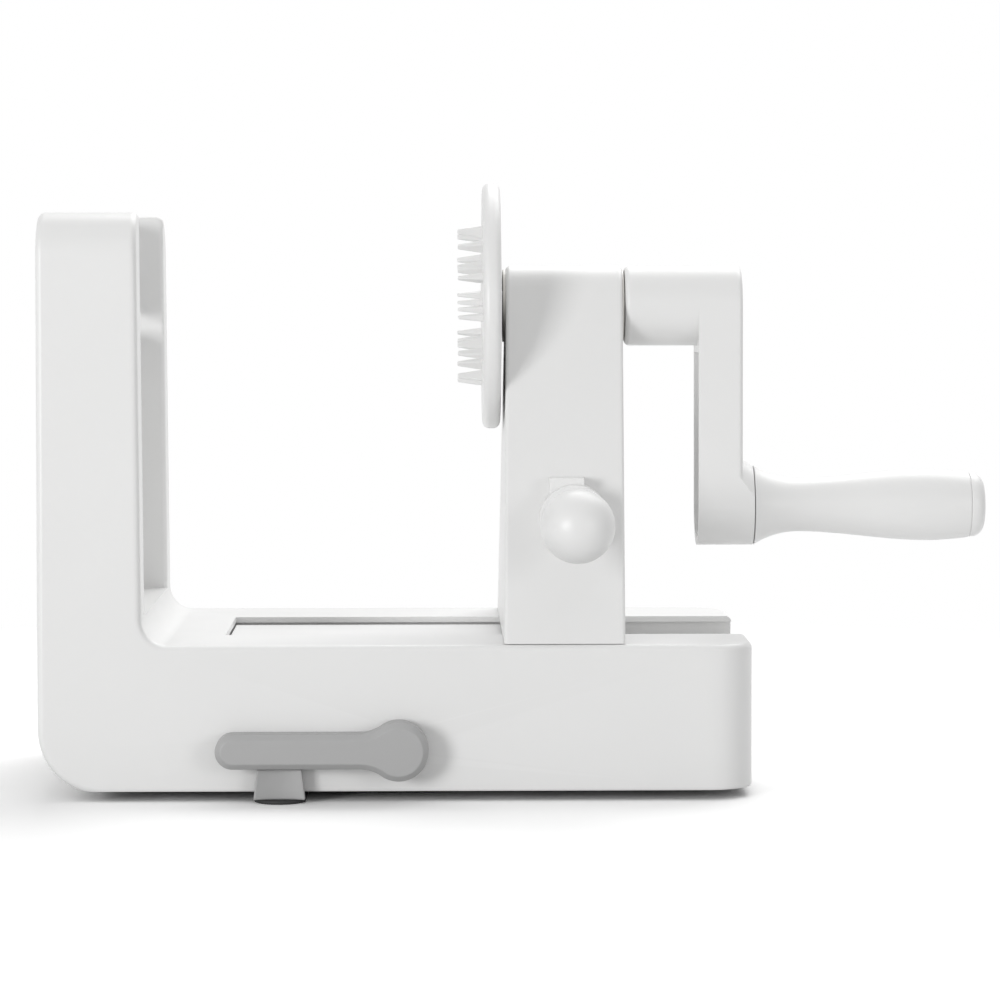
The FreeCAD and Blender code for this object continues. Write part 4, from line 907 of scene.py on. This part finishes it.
@dataclass
class SuctionFoot:
    """The rubber cup with its tongue, and the grey tab on the tongue."""

    maker: Maker
    axis_x: float = LEVER_X
    radius: float = 50.0
    rim: float = 1.2
    rim_step: float = 0.3
    rim_width: float = 4.0
    top: float = 5.0
    boss_radius: float = 8.2
    boss_top: float = 9.4
    socket_radius: float = 5.06
    socket_floor: float = 4.2
    tongue_x: float = -37.4
    tongue_half: float = 8.3
    tongue_front: float = -77.0
    tongue_back: float = -18.0
    tongue_soft: float = 0.3
    tongue_steps: int = 32
    tab_back: float = -72.0
    tab_thick: float = 3.2
    tab_top: float = 11.1
    tab_taper: float = 1.2
    tab_dish: float = 1.4
    tab_soft: float = 0.7

    def build(self) -> None:
        """Makes the cup and the tab."""
        self.cup()
        self.tab()

    def cup(self) -> None:
        """Makes the cup, its rim ridges and its tongue."""
        corners = [
            Corner(0, 0), Corner(0, self.radius, 0.5, 4), Corner(self.rim, self.radius, 0.5, 4),
            Corner(self.rim + self.rim_step, self.radius - self.rim_width, 1.5, 4),
            Corner(self.top, self.boss_radius * 2, 6, 8),
            Corner(self.top, self.boss_radius, 1.2, 5), Corner(self.boss_top, self.boss_radius, 0.5, 4),
            Corner(self.boss_top, self.socket_radius, 0.3, 3), Corner(self.socket_floor, self.socket_radius),
            Corner(self.socket_floor, 0),
        ]
        cup = turned("suction_disc", corners, (self.axis_x, 0), Axis.Z)
        tongue = self.tongue()
        edge_round(tongue, self.tongue_soft, 2)
        carve(cup, tongue, "UNION")
        sharpen(cup, 35)
        self.maker.finish(cup, Body.BASE, Slot.RUBBER, "suction_cup")

    def tongue(self) -> bpy.types.Object:
        """The tongue's strip with its round nose, back to a line under the cup."""
        half, middle = self.tongue_half, self.tongue_front + self.tongue_half
        outline = [(self.tongue_x + half, self.tongue_back), (self.tongue_x - half, self.tongue_back)]
        outline += arc((self.tongue_x, middle), half, math.pi, math.pi, self.tongue_steps)
        work = bmesh.new()
        add_prism(work, outline, 0.0, self.rim, Axis.Z)
        return piece_from("tongue_strip", work)

    def tab(self) -> None:
        """Makes the dished tab that stands on the tongue."""
        work = bmesh.new()
        across, rise = 24, 8
        rows: dict[str, list[list[bmesh.types.BMVert]]] = {"front": [], "back": []}
        for i in range(across + 1):
            share = 2 * i / across - 1
            dish = self.tab_dish * (1 - share * share)
            for side, y in (("front", self.tab_back - self.tab_thick + dish), ("back", self.tab_back)):
                column = []
                for j in range(rise + 1):
                    up = j / rise
                    half = self.tongue_half - self.tab_taper * up
                    height = self.rim + (self.tab_top - self.rim) * up
                    column.append(work.verts.new(Vector((self.tongue_x + share * half, y, height)) * MM))
                rows[side].append(column)
        for side in ("front", "back"):
            grid = rows[side]
            for i in range(across):
                for j in range(rise):
                    work.faces.new((grid[i][j], grid[i + 1][j], grid[i + 1][j + 1], grid[i][j + 1]))
        front, back = rows["front"], rows["back"]
        for i in range(across):
            for j in (0, rise):
                work.faces.new((front[i][j], front[i + 1][j], back[i + 1][j], back[i][j]))
        for j in range(rise):
            for i in (0, across):
                work.faces.new((front[i][j], front[i][j + 1], back[i][j + 1], back[i][j]))
        tab = piece_from("release_grip", work)
        edge_round(tab, self.tab_soft, 4, 50)
        sharpen(tab, 40)
        self.maker.finish(tab, Body.BASE, Slot.GREY, "release_tab")


@dataclass
class SuctionLever:
    """The grey lever on the front wall."""

    maker: Maker
    axis_x: float = LEVER_X
    axis_z: float = 17.1
    hub_radius: float = 9.55
    length: float = 58.5
    half_height: float = 5.6
    neck: float = 12.0
    back: float = -69.5
    thick: float = 11.0
    shaft: float = 4.01
    rim: float = 1.8
    rim_soft: float = 0.35
    socket_depth: float = 7.0
    cut_over: float = 1.0

    def outline(self) -> list[tuple[float, float]]:
        """The lever's outline in X and Z: round tip, straight bar, necks and round hub."""
        reach = self.hub_radius + self.neck
        rise = self.half_height + self.neck
        neck_x = self.axis_x - math.sqrt(reach * reach - rise * rise)
        meet = math.atan2(rise, self.axis_x - neck_x)
        tip = self.axis_x - self.length + self.half_height
        hub = arc((self.axis_x, self.axis_z), self.hub_radius, math.pi - meet, 2 * meet - FULL_TURN, 48)
        under = arc((neck_x, self.axis_z - rise), self.neck, meet, math.pi / 2 - meet, 16)
        end = arc((tip, self.axis_z), self.half_height, -math.pi / 2, -math.pi, 32)
        over = arc((neck_x, self.axis_z + rise), self.neck, -math.pi / 2, math.pi / 2 - meet, 16)
        return hub + under[1:] + end + over[:-1]

    def build(self) -> None:
        """Makes the lever with its shaft socket behind."""
        work = bmesh.new()
        add_prism(work, self.outline(), self.back - self.thick, self.back, Axis.Y)
        lever = piece_from("lever_arm", work)
        edge_round(lever, self.rim, 1)
        edge_round(lever, self.rim_soft, 3, 30)
        socket = turned(
            "lever_bore",
            [
                Corner(self.back - self.socket_depth, 0), Corner(self.back - self.socket_depth, self.shaft),
                Corner(self.back + self.cut_over, self.shaft), Corner(self.back + self.cut_over, 0),
            ],
            (self.axis_x, self.axis_z), Axis.Y, 64,
        )
        carve(lever, socket)
        self.maker.finish(lever, Body.LEVER, Slot.GREY, "suction_lever")


# The carriage


@dataclass
class Tower:
    """The sliding tower with its shoe and bushes."""

    maker: Maker
    edge: float = 0.4
    axis_z: float = SHAFT_Z
    front: float = 36.1
    rear: float = 75.1
    flange: float = 12.25
    front_flange: float = 1.0
    rear_flange: float = 0.7
    sleeve: float = 8.2
    bore: float = 5.06
    sleeve_length: float = 14.0

    def build(self) -> None:
        """Makes the tower, its shoe and its two bushes."""
        for node, name in (("tower_shell", "tower"), ("carriage_shoe", "shoe")):
            self.maker.finish(refined(node, name, self.edge), Body.CARRIAGE, Slot.WHITE, node)
        self.bush("front_bush", self.front, 1, self.front_flange)
        self.bush("rear_bush", self.rear, -1, self.rear_flange)

    def bush(self, node: str, face: float, sense: int, flange: float) -> None:
        """Makes one flanged bush against a face of the tower."""
        inside, outside = face + sense * self.sleeve_length, face - sense * flange
        corners = [
            Corner(outside, self.bore, 0.25, 3), Corner(inside, self.bore, 0.25, 3),
            Corner(inside, self.sleeve, 0.4, 3), Corner(face, self.sleeve),
            Corner(face, self.flange, 0.15, 3), Corner(outside, self.flange, 0.35, 4),
        ]
        piece = turned(node + "_ring", corners, (0, self.axis_z), Axis.X)
        sharpen(piece, 40)
        self.maker.finish(piece, Body.CARRIAGE, Slot.SLIDE, node)


@dataclass
class PushKnob:
    """The ball knob that pushes the carriage, with its socket and stem."""

    maker: Maker
    x: float = 57.6
    z: float = 89.1
    reach: float = 84.0
    radius: float = 11.8
    stem: float = 5.2
    socket_face: float = 56.0
    stem_grip: float = 10.5
    flare: float = 1.4
    flare_run: float = 1.6
    mouth: float = 1.2
    mouth_soft: float = 0.35
    bore_gap: float = 0.05
    bore_end: float = 1.4

    def build(self) -> None:
        """Makes the ball, the stem and the socket."""
        self.ball()
        socket = refined("knob_socket", "socket_collar", 0.8, 4)
        self.maker.finish(socket, Body.CARRIAGE, Slot.WHITE, "knob_socket")
        stem_end = self.reach - self.radius + self.stem_grip
        stem = turned(
            "knob_neck",
            [
                Corner(-self.socket_face, 0), Corner(-self.socket_face, self.stem + self.flare),
                Corner(-self.socket_face - self.flare_run, self.stem, 1.5, 6), Corner(-stem_end, self.stem),
                Corner(-stem_end, 0),
            ],
            (self.x, self.z), Axis.Y,
        )
        sharpen(stem, 40)
        self.maker.finish(stem, Body.CARRIAGE, Slot.WHITE, "knob_stem")

    def ball(self) -> None:
        """Makes the ball with a small flat around the stem."""
        steps = 72
        flat = math.asin((self.stem + self.mouth) / self.radius)
        profile = [(-self.reach - self.radius, 0.0)]
        for i in range(1, steps + 1):
            angle = math.pi - (math.pi - flat) * i / steps
            profile.append((-self.reach + self.radius * math.cos(angle), self.radius * math.sin(angle)))
        face, bore, floor = profile[-1][0], self.stem + self.bore_gap, -self.reach + self.bore_end
        profile += [(face - self.mouth_soft, self.stem + self.mouth_soft), (face - self.mouth, bore)]
        profile += [(floor, bore), (floor, 0.0)]
        work = bmesh.new()
        add_turned(work, profile, (self.x, self.z), Axis.Y, 128)
        ball = piece_from("ball_knob", work)
        sharpen(ball, 50)
        self.maker.finish(ball, Body.CARRIAGE, Slot.WHITE, "push_knob")


# What the crank turns


@dataclass
class FoodHolder:
    """The toothed disc that grips the vegetable."""

    maker: Maker
    axis_z: float = SHAFT_Z
    back: float = 34.8
    front: float = 28.3
    radius: float = 41.3
    rim: float = 2.4
    sink_radius: float = 7.1
    sink_floor: float = 29.9
    head_radius: float = 6.8
    head_height: float = 1.5
    screw_shank: float = 2.5
    screw_hole: float = 2.8
    web_back: float = 31.3
    shaft: float = 5.01
    rings: tuple[tuple[int, float, float], ...] = ((12, 25.2, 8.0), (6, 14.5, 4.0))
    tooth_root: float = 4.0
    tooth_point: float = 1.7
    tooth_length: float = 8.3
    root_thick: float = 2.7
    point_thick: float = 1.1
    tooth_sunk: float = 0.8
    tooth_soft: float = 0.45
    dome_from: float = 13.0
    rim_back: float = 0.6

    def build(self) -> None:
        """Makes the disc and its rings of teeth."""
        corners = [
            Corner(self.sink_floor, self.screw_hole), Corner(self.sink_floor, self.sink_radius, 0.15, 2),
            Corner(self.front, self.sink_radius, 0.25, 3), Corner(self.front, self.radius, self.rim, 10),
            Corner(self.back - self.rim_back, self.radius, self.rim, 10),
            Corner(self.back, self.dome_from, 4, 4),
            Corner(self.back, self.shaft, 0.3, 2), Corner(self.web_back, self.shaft),
            Corner(self.web_back, self.screw_hole),
        ]
        disc = turned("holder_disc", corners, (0, self.axis_z), Axis.X, 160)
        sharpen(disc, 40)
        settle(disc)
        self.maker.finish(disc, Body.CRANK, Slot.WHITE, "food_holder")
        form = self.tooth()
        for count, radius, turn in self.rings:
            name = f"teeth_{count}"
            ring = self.maker.repeats.round_axis(
                name, form, self.maker.paints.materials[Slot.WHITE], count, radius, turn,
                (self.front, 0, self.axis_z),
            )
            self.maker.finish(ring, Body.CRANK, Slot.WHITE)
        drop(form)
        self.screw()

    def screw(self) -> None:
        """Makes the flat screw sunk in the middle of the disc."""
        form = screw_form("holder_screw_form", self.head_radius, self.head_height, self.screw_shank)
        head = self.maker.repeats.on_spots(
            "holder_screw_head", form, self.maker.paints.materials[Slot.STEEL],
            [(self.sink_floor, 0, self.axis_z)], (0, 90, 0),
        )
        drop(form)
        self.maker.finish(head, Body.CRANK, Slot.STEEL, "holder_screw")

    def tooth(self) -> bpy.types.Object:
        """One tapered tooth from the origin towards -X, wide along Y."""
        work = bmesh.new()
        levels = 5
        rows = []
        for i in range(levels + 1):
            share = i / levels
            wide = self.tooth_root + (self.tooth_point - self.tooth_root) * share
            thick = self.root_thick + (self.point_thick - self.root_thick) * share
            along = self.tooth_sunk - (self.tooth_length + self.tooth_sunk) * share
            rows.append([
                work.verts.new(Vector((along, sy * wide / 2, sz * thick / 2)) * MM)
                for sy, sz in ((-1, -1), (1, -1), (1, 1), (-1, 1))
            ])
        for low, high in zip(rows, rows[1:]):
            for i in range(4):
                j = (i + 1) % 4
                work.faces.new((low[i], low[j], high[j], high[i]))
        work.faces.new(rows[0])
        work.faces.new(rows[-1])
        form = piece_from("tooth_form", work)
        edge_round(form, self.tooth_soft, 3, 50)
        return form


@dataclass
class Crank:
    """The crank with the cap on its hub."""

    maker: Maker
    edge: float = 0.45
    axis_z: float = SHAFT_Z
    face: float = 115.5
    cap_radius: float = 6.15
    cap_thick: float = 2.4
    cap_crown: float = 0.25

    def build(self) -> None:
        """Makes the crank and its cap."""
        self.maker.finish(refined("crank_arm", "crank", self.edge), Body.CRANK, Slot.WHITE, "crank_arm")
        corners = [
            Corner(self.face - self.cap_thick, 0), Corner(self.face - self.cap_thick, self.cap_radius, 0.2, 2),
            Corner(self.face, self.cap_radius, 0.4, 4), Corner(self.face + self.cap_crown, 0),
        ]
        cap = turned("hub_plug", corners, (0, self.axis_z), Axis.X, 64)
        sharpen(cap, 40)
        self.maker.finish(cap, Body.CRANK, Slot.WHITE, "hub_cap")


@dataclass
class Grip:
    """The waisted grip and its end cap."""

    maker: Maker
    axis_z: float = 90.6
    start: float = 119.8
    length: float = 73.1
    start_radius: float = 13.4
    waist_at: float = 15.0
    waist_radius: float = 8.9
    belly_at: float = 58.5
    belly_radius: float = 12.0
    seam_radius: float = 10.9
    cap_length: float = 4.9
    bore: float = 4.06
    well_radius: float = 8.2
    well_depth: float = 8.0
    cap_round: float = 4.2
    wall: float = 2.3
    lip: float = 0.25
    cap_gap: float = 0.02
    cap_seat: float = 3.0
    rows: int = 120
    flats: int = 144

    def radius_at(self, along: float) -> float:
        """The grip's radius at a distance from its start, on the same curve as its frame."""
        flare = -2 * (self.start_radius - self.waist_radius) / self.waist_at
        fall = -2 * (self.belly_radius - self.seam_radius) / (self.length - self.belly_at)
        marks = (
            (0.0, self.start_radius, flare), (self.waist_at, self.waist_radius, 0.0),
            (self.belly_at, self.belly_radius, 0.0), (self.length, self.seam_radius, fall),
        )
        for (x0, r0, s0), (x1, r1, s1) in zip(marks, marks[1:]):
            if along <= x1 or x1 == self.length:
                span = x1 - x0
                t = (along - x0) / span
                return (
                    r0 * (2 * t**3 - 3 * t**2 + 1) + s0 * span * (t**3 - 2 * t**2 + t)
                    + r1 * (-2 * t**3 + 3 * t**2) + s1 * span * (t**3 - t**2)
                )
        return self.seam_radius

    def build(self) -> None:
        """Makes the grip and its cap."""
        end = self.start + self.length
        places = [self.length * i / self.rows for i in range(self.rows + 1)]
        skin = [(self.start + place, self.radius_at(place)) for place in places]
        skin[0] = (skin[0][0] + self.lip, skin[0][1] - 0.1)
        skin[-1] = (skin[-1][0] - self.lip, skin[-1][1] - 0.02)
        profile = [
            (self.start, self.bore), (self.start, skin[0][1] - 0.5), (self.start + 0.06, skin[0][1] - 0.2),
        ]
        profile += skin
        profile += [
            (end - 0.05, self.seam_radius - 0.18), (end, self.seam_radius - 0.45), (end, self.well_radius),
            (end - self.well_depth, self.well_radius), (end - self.well_depth, self.bore),
        ]
        work = bmesh.new()
        add_turned(work, profile, (0, self.axis_z), Axis.X, self.flats)
        grip = piece_from("turning_grip", work)
        sharpen(grip, 50)
        self.maker.finish(grip, Body.GRIP, Slot.WHITE, "hand_grip")
        plug = self.well_radius - self.cap_gap
        corners = [
            Corner(end - self.cap_seat, plug - self.wall), Corner(end - self.cap_seat, plug, 0.4, 3),
            Corner(end, plug), Corner(end, self.seam_radius - 0.1, 0.3, 4),
            Corner(end + self.cap_length, self.seam_radius - 0.4, self.cap_round, 18),
            Corner(end + self.cap_length, 0.0), Corner(end, 0.0), Corner(end, plug - self.wall),
        ]
        profile = smooth_outline(corners)
        work = bmesh.new()
        start = next(i for i, (_, r) in enumerate(profile) if r < POLE)
        ordered = profile[start + 1:] + profile[:start + 1]
        add_turned(work, ordered, (0, self.axis_z), Axis.X, self.flats)
        cap = piece_from("grip_cap", work)
        sharpen(cap, 50)
        self.maker.finish(cap, Body.GRIP, Slot.WHITE, "grip_end_cap")


@dataclass
class Cartridge:
    """The blade plate between the arms."""

    maker: Maker
    edge: float = 0.4

    def build(self) -> None:
        """Makes the plate; its blades stay as the frame has them, in ground steel."""
        plate = refined("blade_frame", "blade_plate", self.edge)
        self.maker.finish(plate, Body.CARTRIDGE, Slot.WHITE, "blade_frame")


class Carried:
    """Frame nodes whose own shape stays and that only need their finish."""

    def __init__(self, paints: Paintbox) -> None:
        """Keeps the paintbox."""
        self.paints = paints

    def dress(self) -> None:
        """Gives every node the finish of its slot."""
        slots = {row["node"]: row["material_slot"] for row in frame["record"]["subparts"]}
        for name, node in frame["nodes"].items():
            self.paints.coat(node, Slot(slots[name]))


# The studio


def seen_directly(tree: NodeTree) -> bpy.types.NodeSocket:
    """1 where the camera, a reflection or a clear piece sees the surface, else 0."""
    path = tree.add("ShaderNodeLightPath")
    mirrored = tree.maths("MAXIMUM", path.outputs["Is Glossy Ray"], path.outputs["Is Transmission Ray"])
    return tree.maths("MAXIMUM", path.outputs["Is Camera Ray"], mirrored)


@dataclass(frozen=True)
class SoftBox:
    """A square area lamp.

    Attributes:
        name: the lamp's name.
        place: its middle.
        size: the length of its side.
        power: its power in watts.
    """

    name: str
    place: tuple[float, float, float]
    size: float
    power: float

    def hang(self, target: Vector) -> None:
        """Sets the lamp up, turned to a target in metres."""
        lamp = bpy.data.lights.new(self.name, "AREA")
        lamp.shape = "SQUARE"
        lamp.size = self.size * MM
        lamp.energy = self.power
        item = new_piece(self.name, lamp)
        item.location = Vector(self.place) * MM
        item.rotation_mode = "QUATERNION"
        item.rotation_quaternion = (target - item.location).to_track_quat("-Z", "Y")


@dataclass
class Studio:
    """A white sweep, soft light and the photograph's camera."""

    floor_size: float = 9000.0
    fade_from: float = 330.0
    fade_to: float = 560.0
    surround: float = 0.52
    paper: float = 0.65
    seen_paper: float = 0.54
    aim: tuple[float, float, float] = (0, 0, 80)
    boxes: tuple[SoftBox, ...] = (
        SoftBox("overhead_box", (450, 1000, 1400), 1400, 20.0),
        SoftBox("side_box", (1400, -1800, 400), 600, 5.5),
        SoftBox("key_box", (-1300, -1700, 350), 600, 18.5),
    )
    camera_place: tuple[float, float, float] = (13.14, -1292.9, 171.4)
    yaw: float = 0.9386
    pitch: float = 2.0
    roll: float = 0.046
    focal_px: float = 3832.0
    frame_px: float = 1000.0
    sensor: float = 36.0
    rise: float = -0.1

    def build(self) -> None:
        """Makes floor, world, lamps and camera."""
        self.floor()
        self.world()
        self.lamps()
        self.camera()

    def floor(self) -> None:
        """Makes the floor, which the camera sees as white with the object's shadow on it."""
        half = self.floor_size / 2
        work = bmesh.new()
        corners = ((-half, -half), (half, -half), (half, half), (-half, half))
        work.faces.new([work.verts.new(Vector((x, y, 0)) * MM) for x, y in corners])
        floor = new_piece("floor", mesh_from("floor", work, keep_facing=True))
        material = bpy.data.materials.new("white_sweep")
        tree = cleared(material)
        paper = tree.add("ShaderNodeBsdfDiffuse", in_0=(*[self.paper] * 3, 1))
        bright = tree.add("ShaderNodeBsdfDiffuse", in_0=(*[self.seen_paper] * 3, 1))
        both = tree.add("ShaderNodeAddShader", in_0=paper.outputs[0], in_1=bright.outputs[0])
        white = tree.add("ShaderNodeEmission", in_0=(1, 1, 1, 1), in_1=1.0)
        place = tree.add("ShaderNodeTexCoord").outputs["Object"]
        away = tree.add("ShaderNodeVectorMath", operation="LENGTH", in_0=place)
        fade = tree.add(
            "ShaderNodeMapRange", in_0=away.outputs["Value"], in_1=self.fade_from * MM, in_2=self.fade_to * MM
        )
        near = tree.add(
            "ShaderNodeMixShader", in_0=fade.outputs[0], in_1=both.outputs[0], in_2=white.outputs[0]
        )
        mix = tree.add(
            "ShaderNodeMixShader", in_0=seen_directly(tree), in_1=paper.outputs[0], in_2=near.outputs[0]
        )
        out = tree.add("ShaderNodeOutputMaterial")
        tree.plug(mix.outputs[0], out.inputs[0])
        floor.data.materials.append(material)

    def world(self) -> None:
        """Sets a pale even surround that the camera sees as white."""
        world = bpy.data.worlds.new("studio_world")
        bpy.context.scene.world = world
        tree = cleared(world)
        fill = tree.add("ShaderNodeBackground", in_0=(1, 1, 1, 1), in_1=self.surround)
        white = tree.add("ShaderNodeBackground", in_0=(1, 1, 1, 1), in_1=1.0)
        mix = tree.add(
            "ShaderNodeMixShader", in_0=seen_directly(tree), in_1=fill.outputs[0], in_2=white.outputs[0]
        )
        out = tree.add("ShaderNodeOutputWorld")
        tree.plug(mix.outputs[0], out.inputs[0])

    def lamps(self) -> None:
        """Hangs the soft boxes."""
        for box in self.boxes:
            box.hang(Vector(self.aim) * MM)

    def camera(self) -> None:
        """Sets the camera at the photograph's angle."""
        data = bpy.data.cameras.new("camera")
        data.sensor_width = self.sensor
        data.lens = self.focal_px / self.frame_px * self.sensor
        data.shift_y = self.rise
        camera = new_piece("camera", data)
        camera.location = Vector(self.camera_place) * MM
        turn = Matrix.Rotation(-math.radians(self.yaw), 4, "Z")
        tilt = Matrix.Rotation(math.pi / 2 - math.radians(self.pitch), 4, "X")
        lean = Matrix.Rotation(-math.radians(self.roll), 4, "Z")
        camera.rotation_mode = "QUATERNION"
        camera.rotation_quaternion = (turn @ tilt @ lean).to_quaternion()
        bpy.context.scene.camera = camera


def main() -> None:
    """Builds the whole scene in order."""
    logging.basicConfig(level=logging.INFO, format="%(message)s")
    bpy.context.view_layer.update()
    scene = bpy.context.scene
    scene.view_settings.view_transform = "Standard"
    Studio().build()
    paints = Paintbox()
    Carried(paints).dress()
    maker = Maker(paints, Repeats())
    for assembly in (
        Housing(maker), SuctionFoot(maker), SuctionLever(maker), Tower(maker), PushKnob(maker),
        FoodHolder(maker), Crank(maker), Grip(maker), Cartridge(maker),
    ):
        assembly.build()
        log.info("%s is built", type(assembly).__name__)


if __name__ == "__main__":
    main()
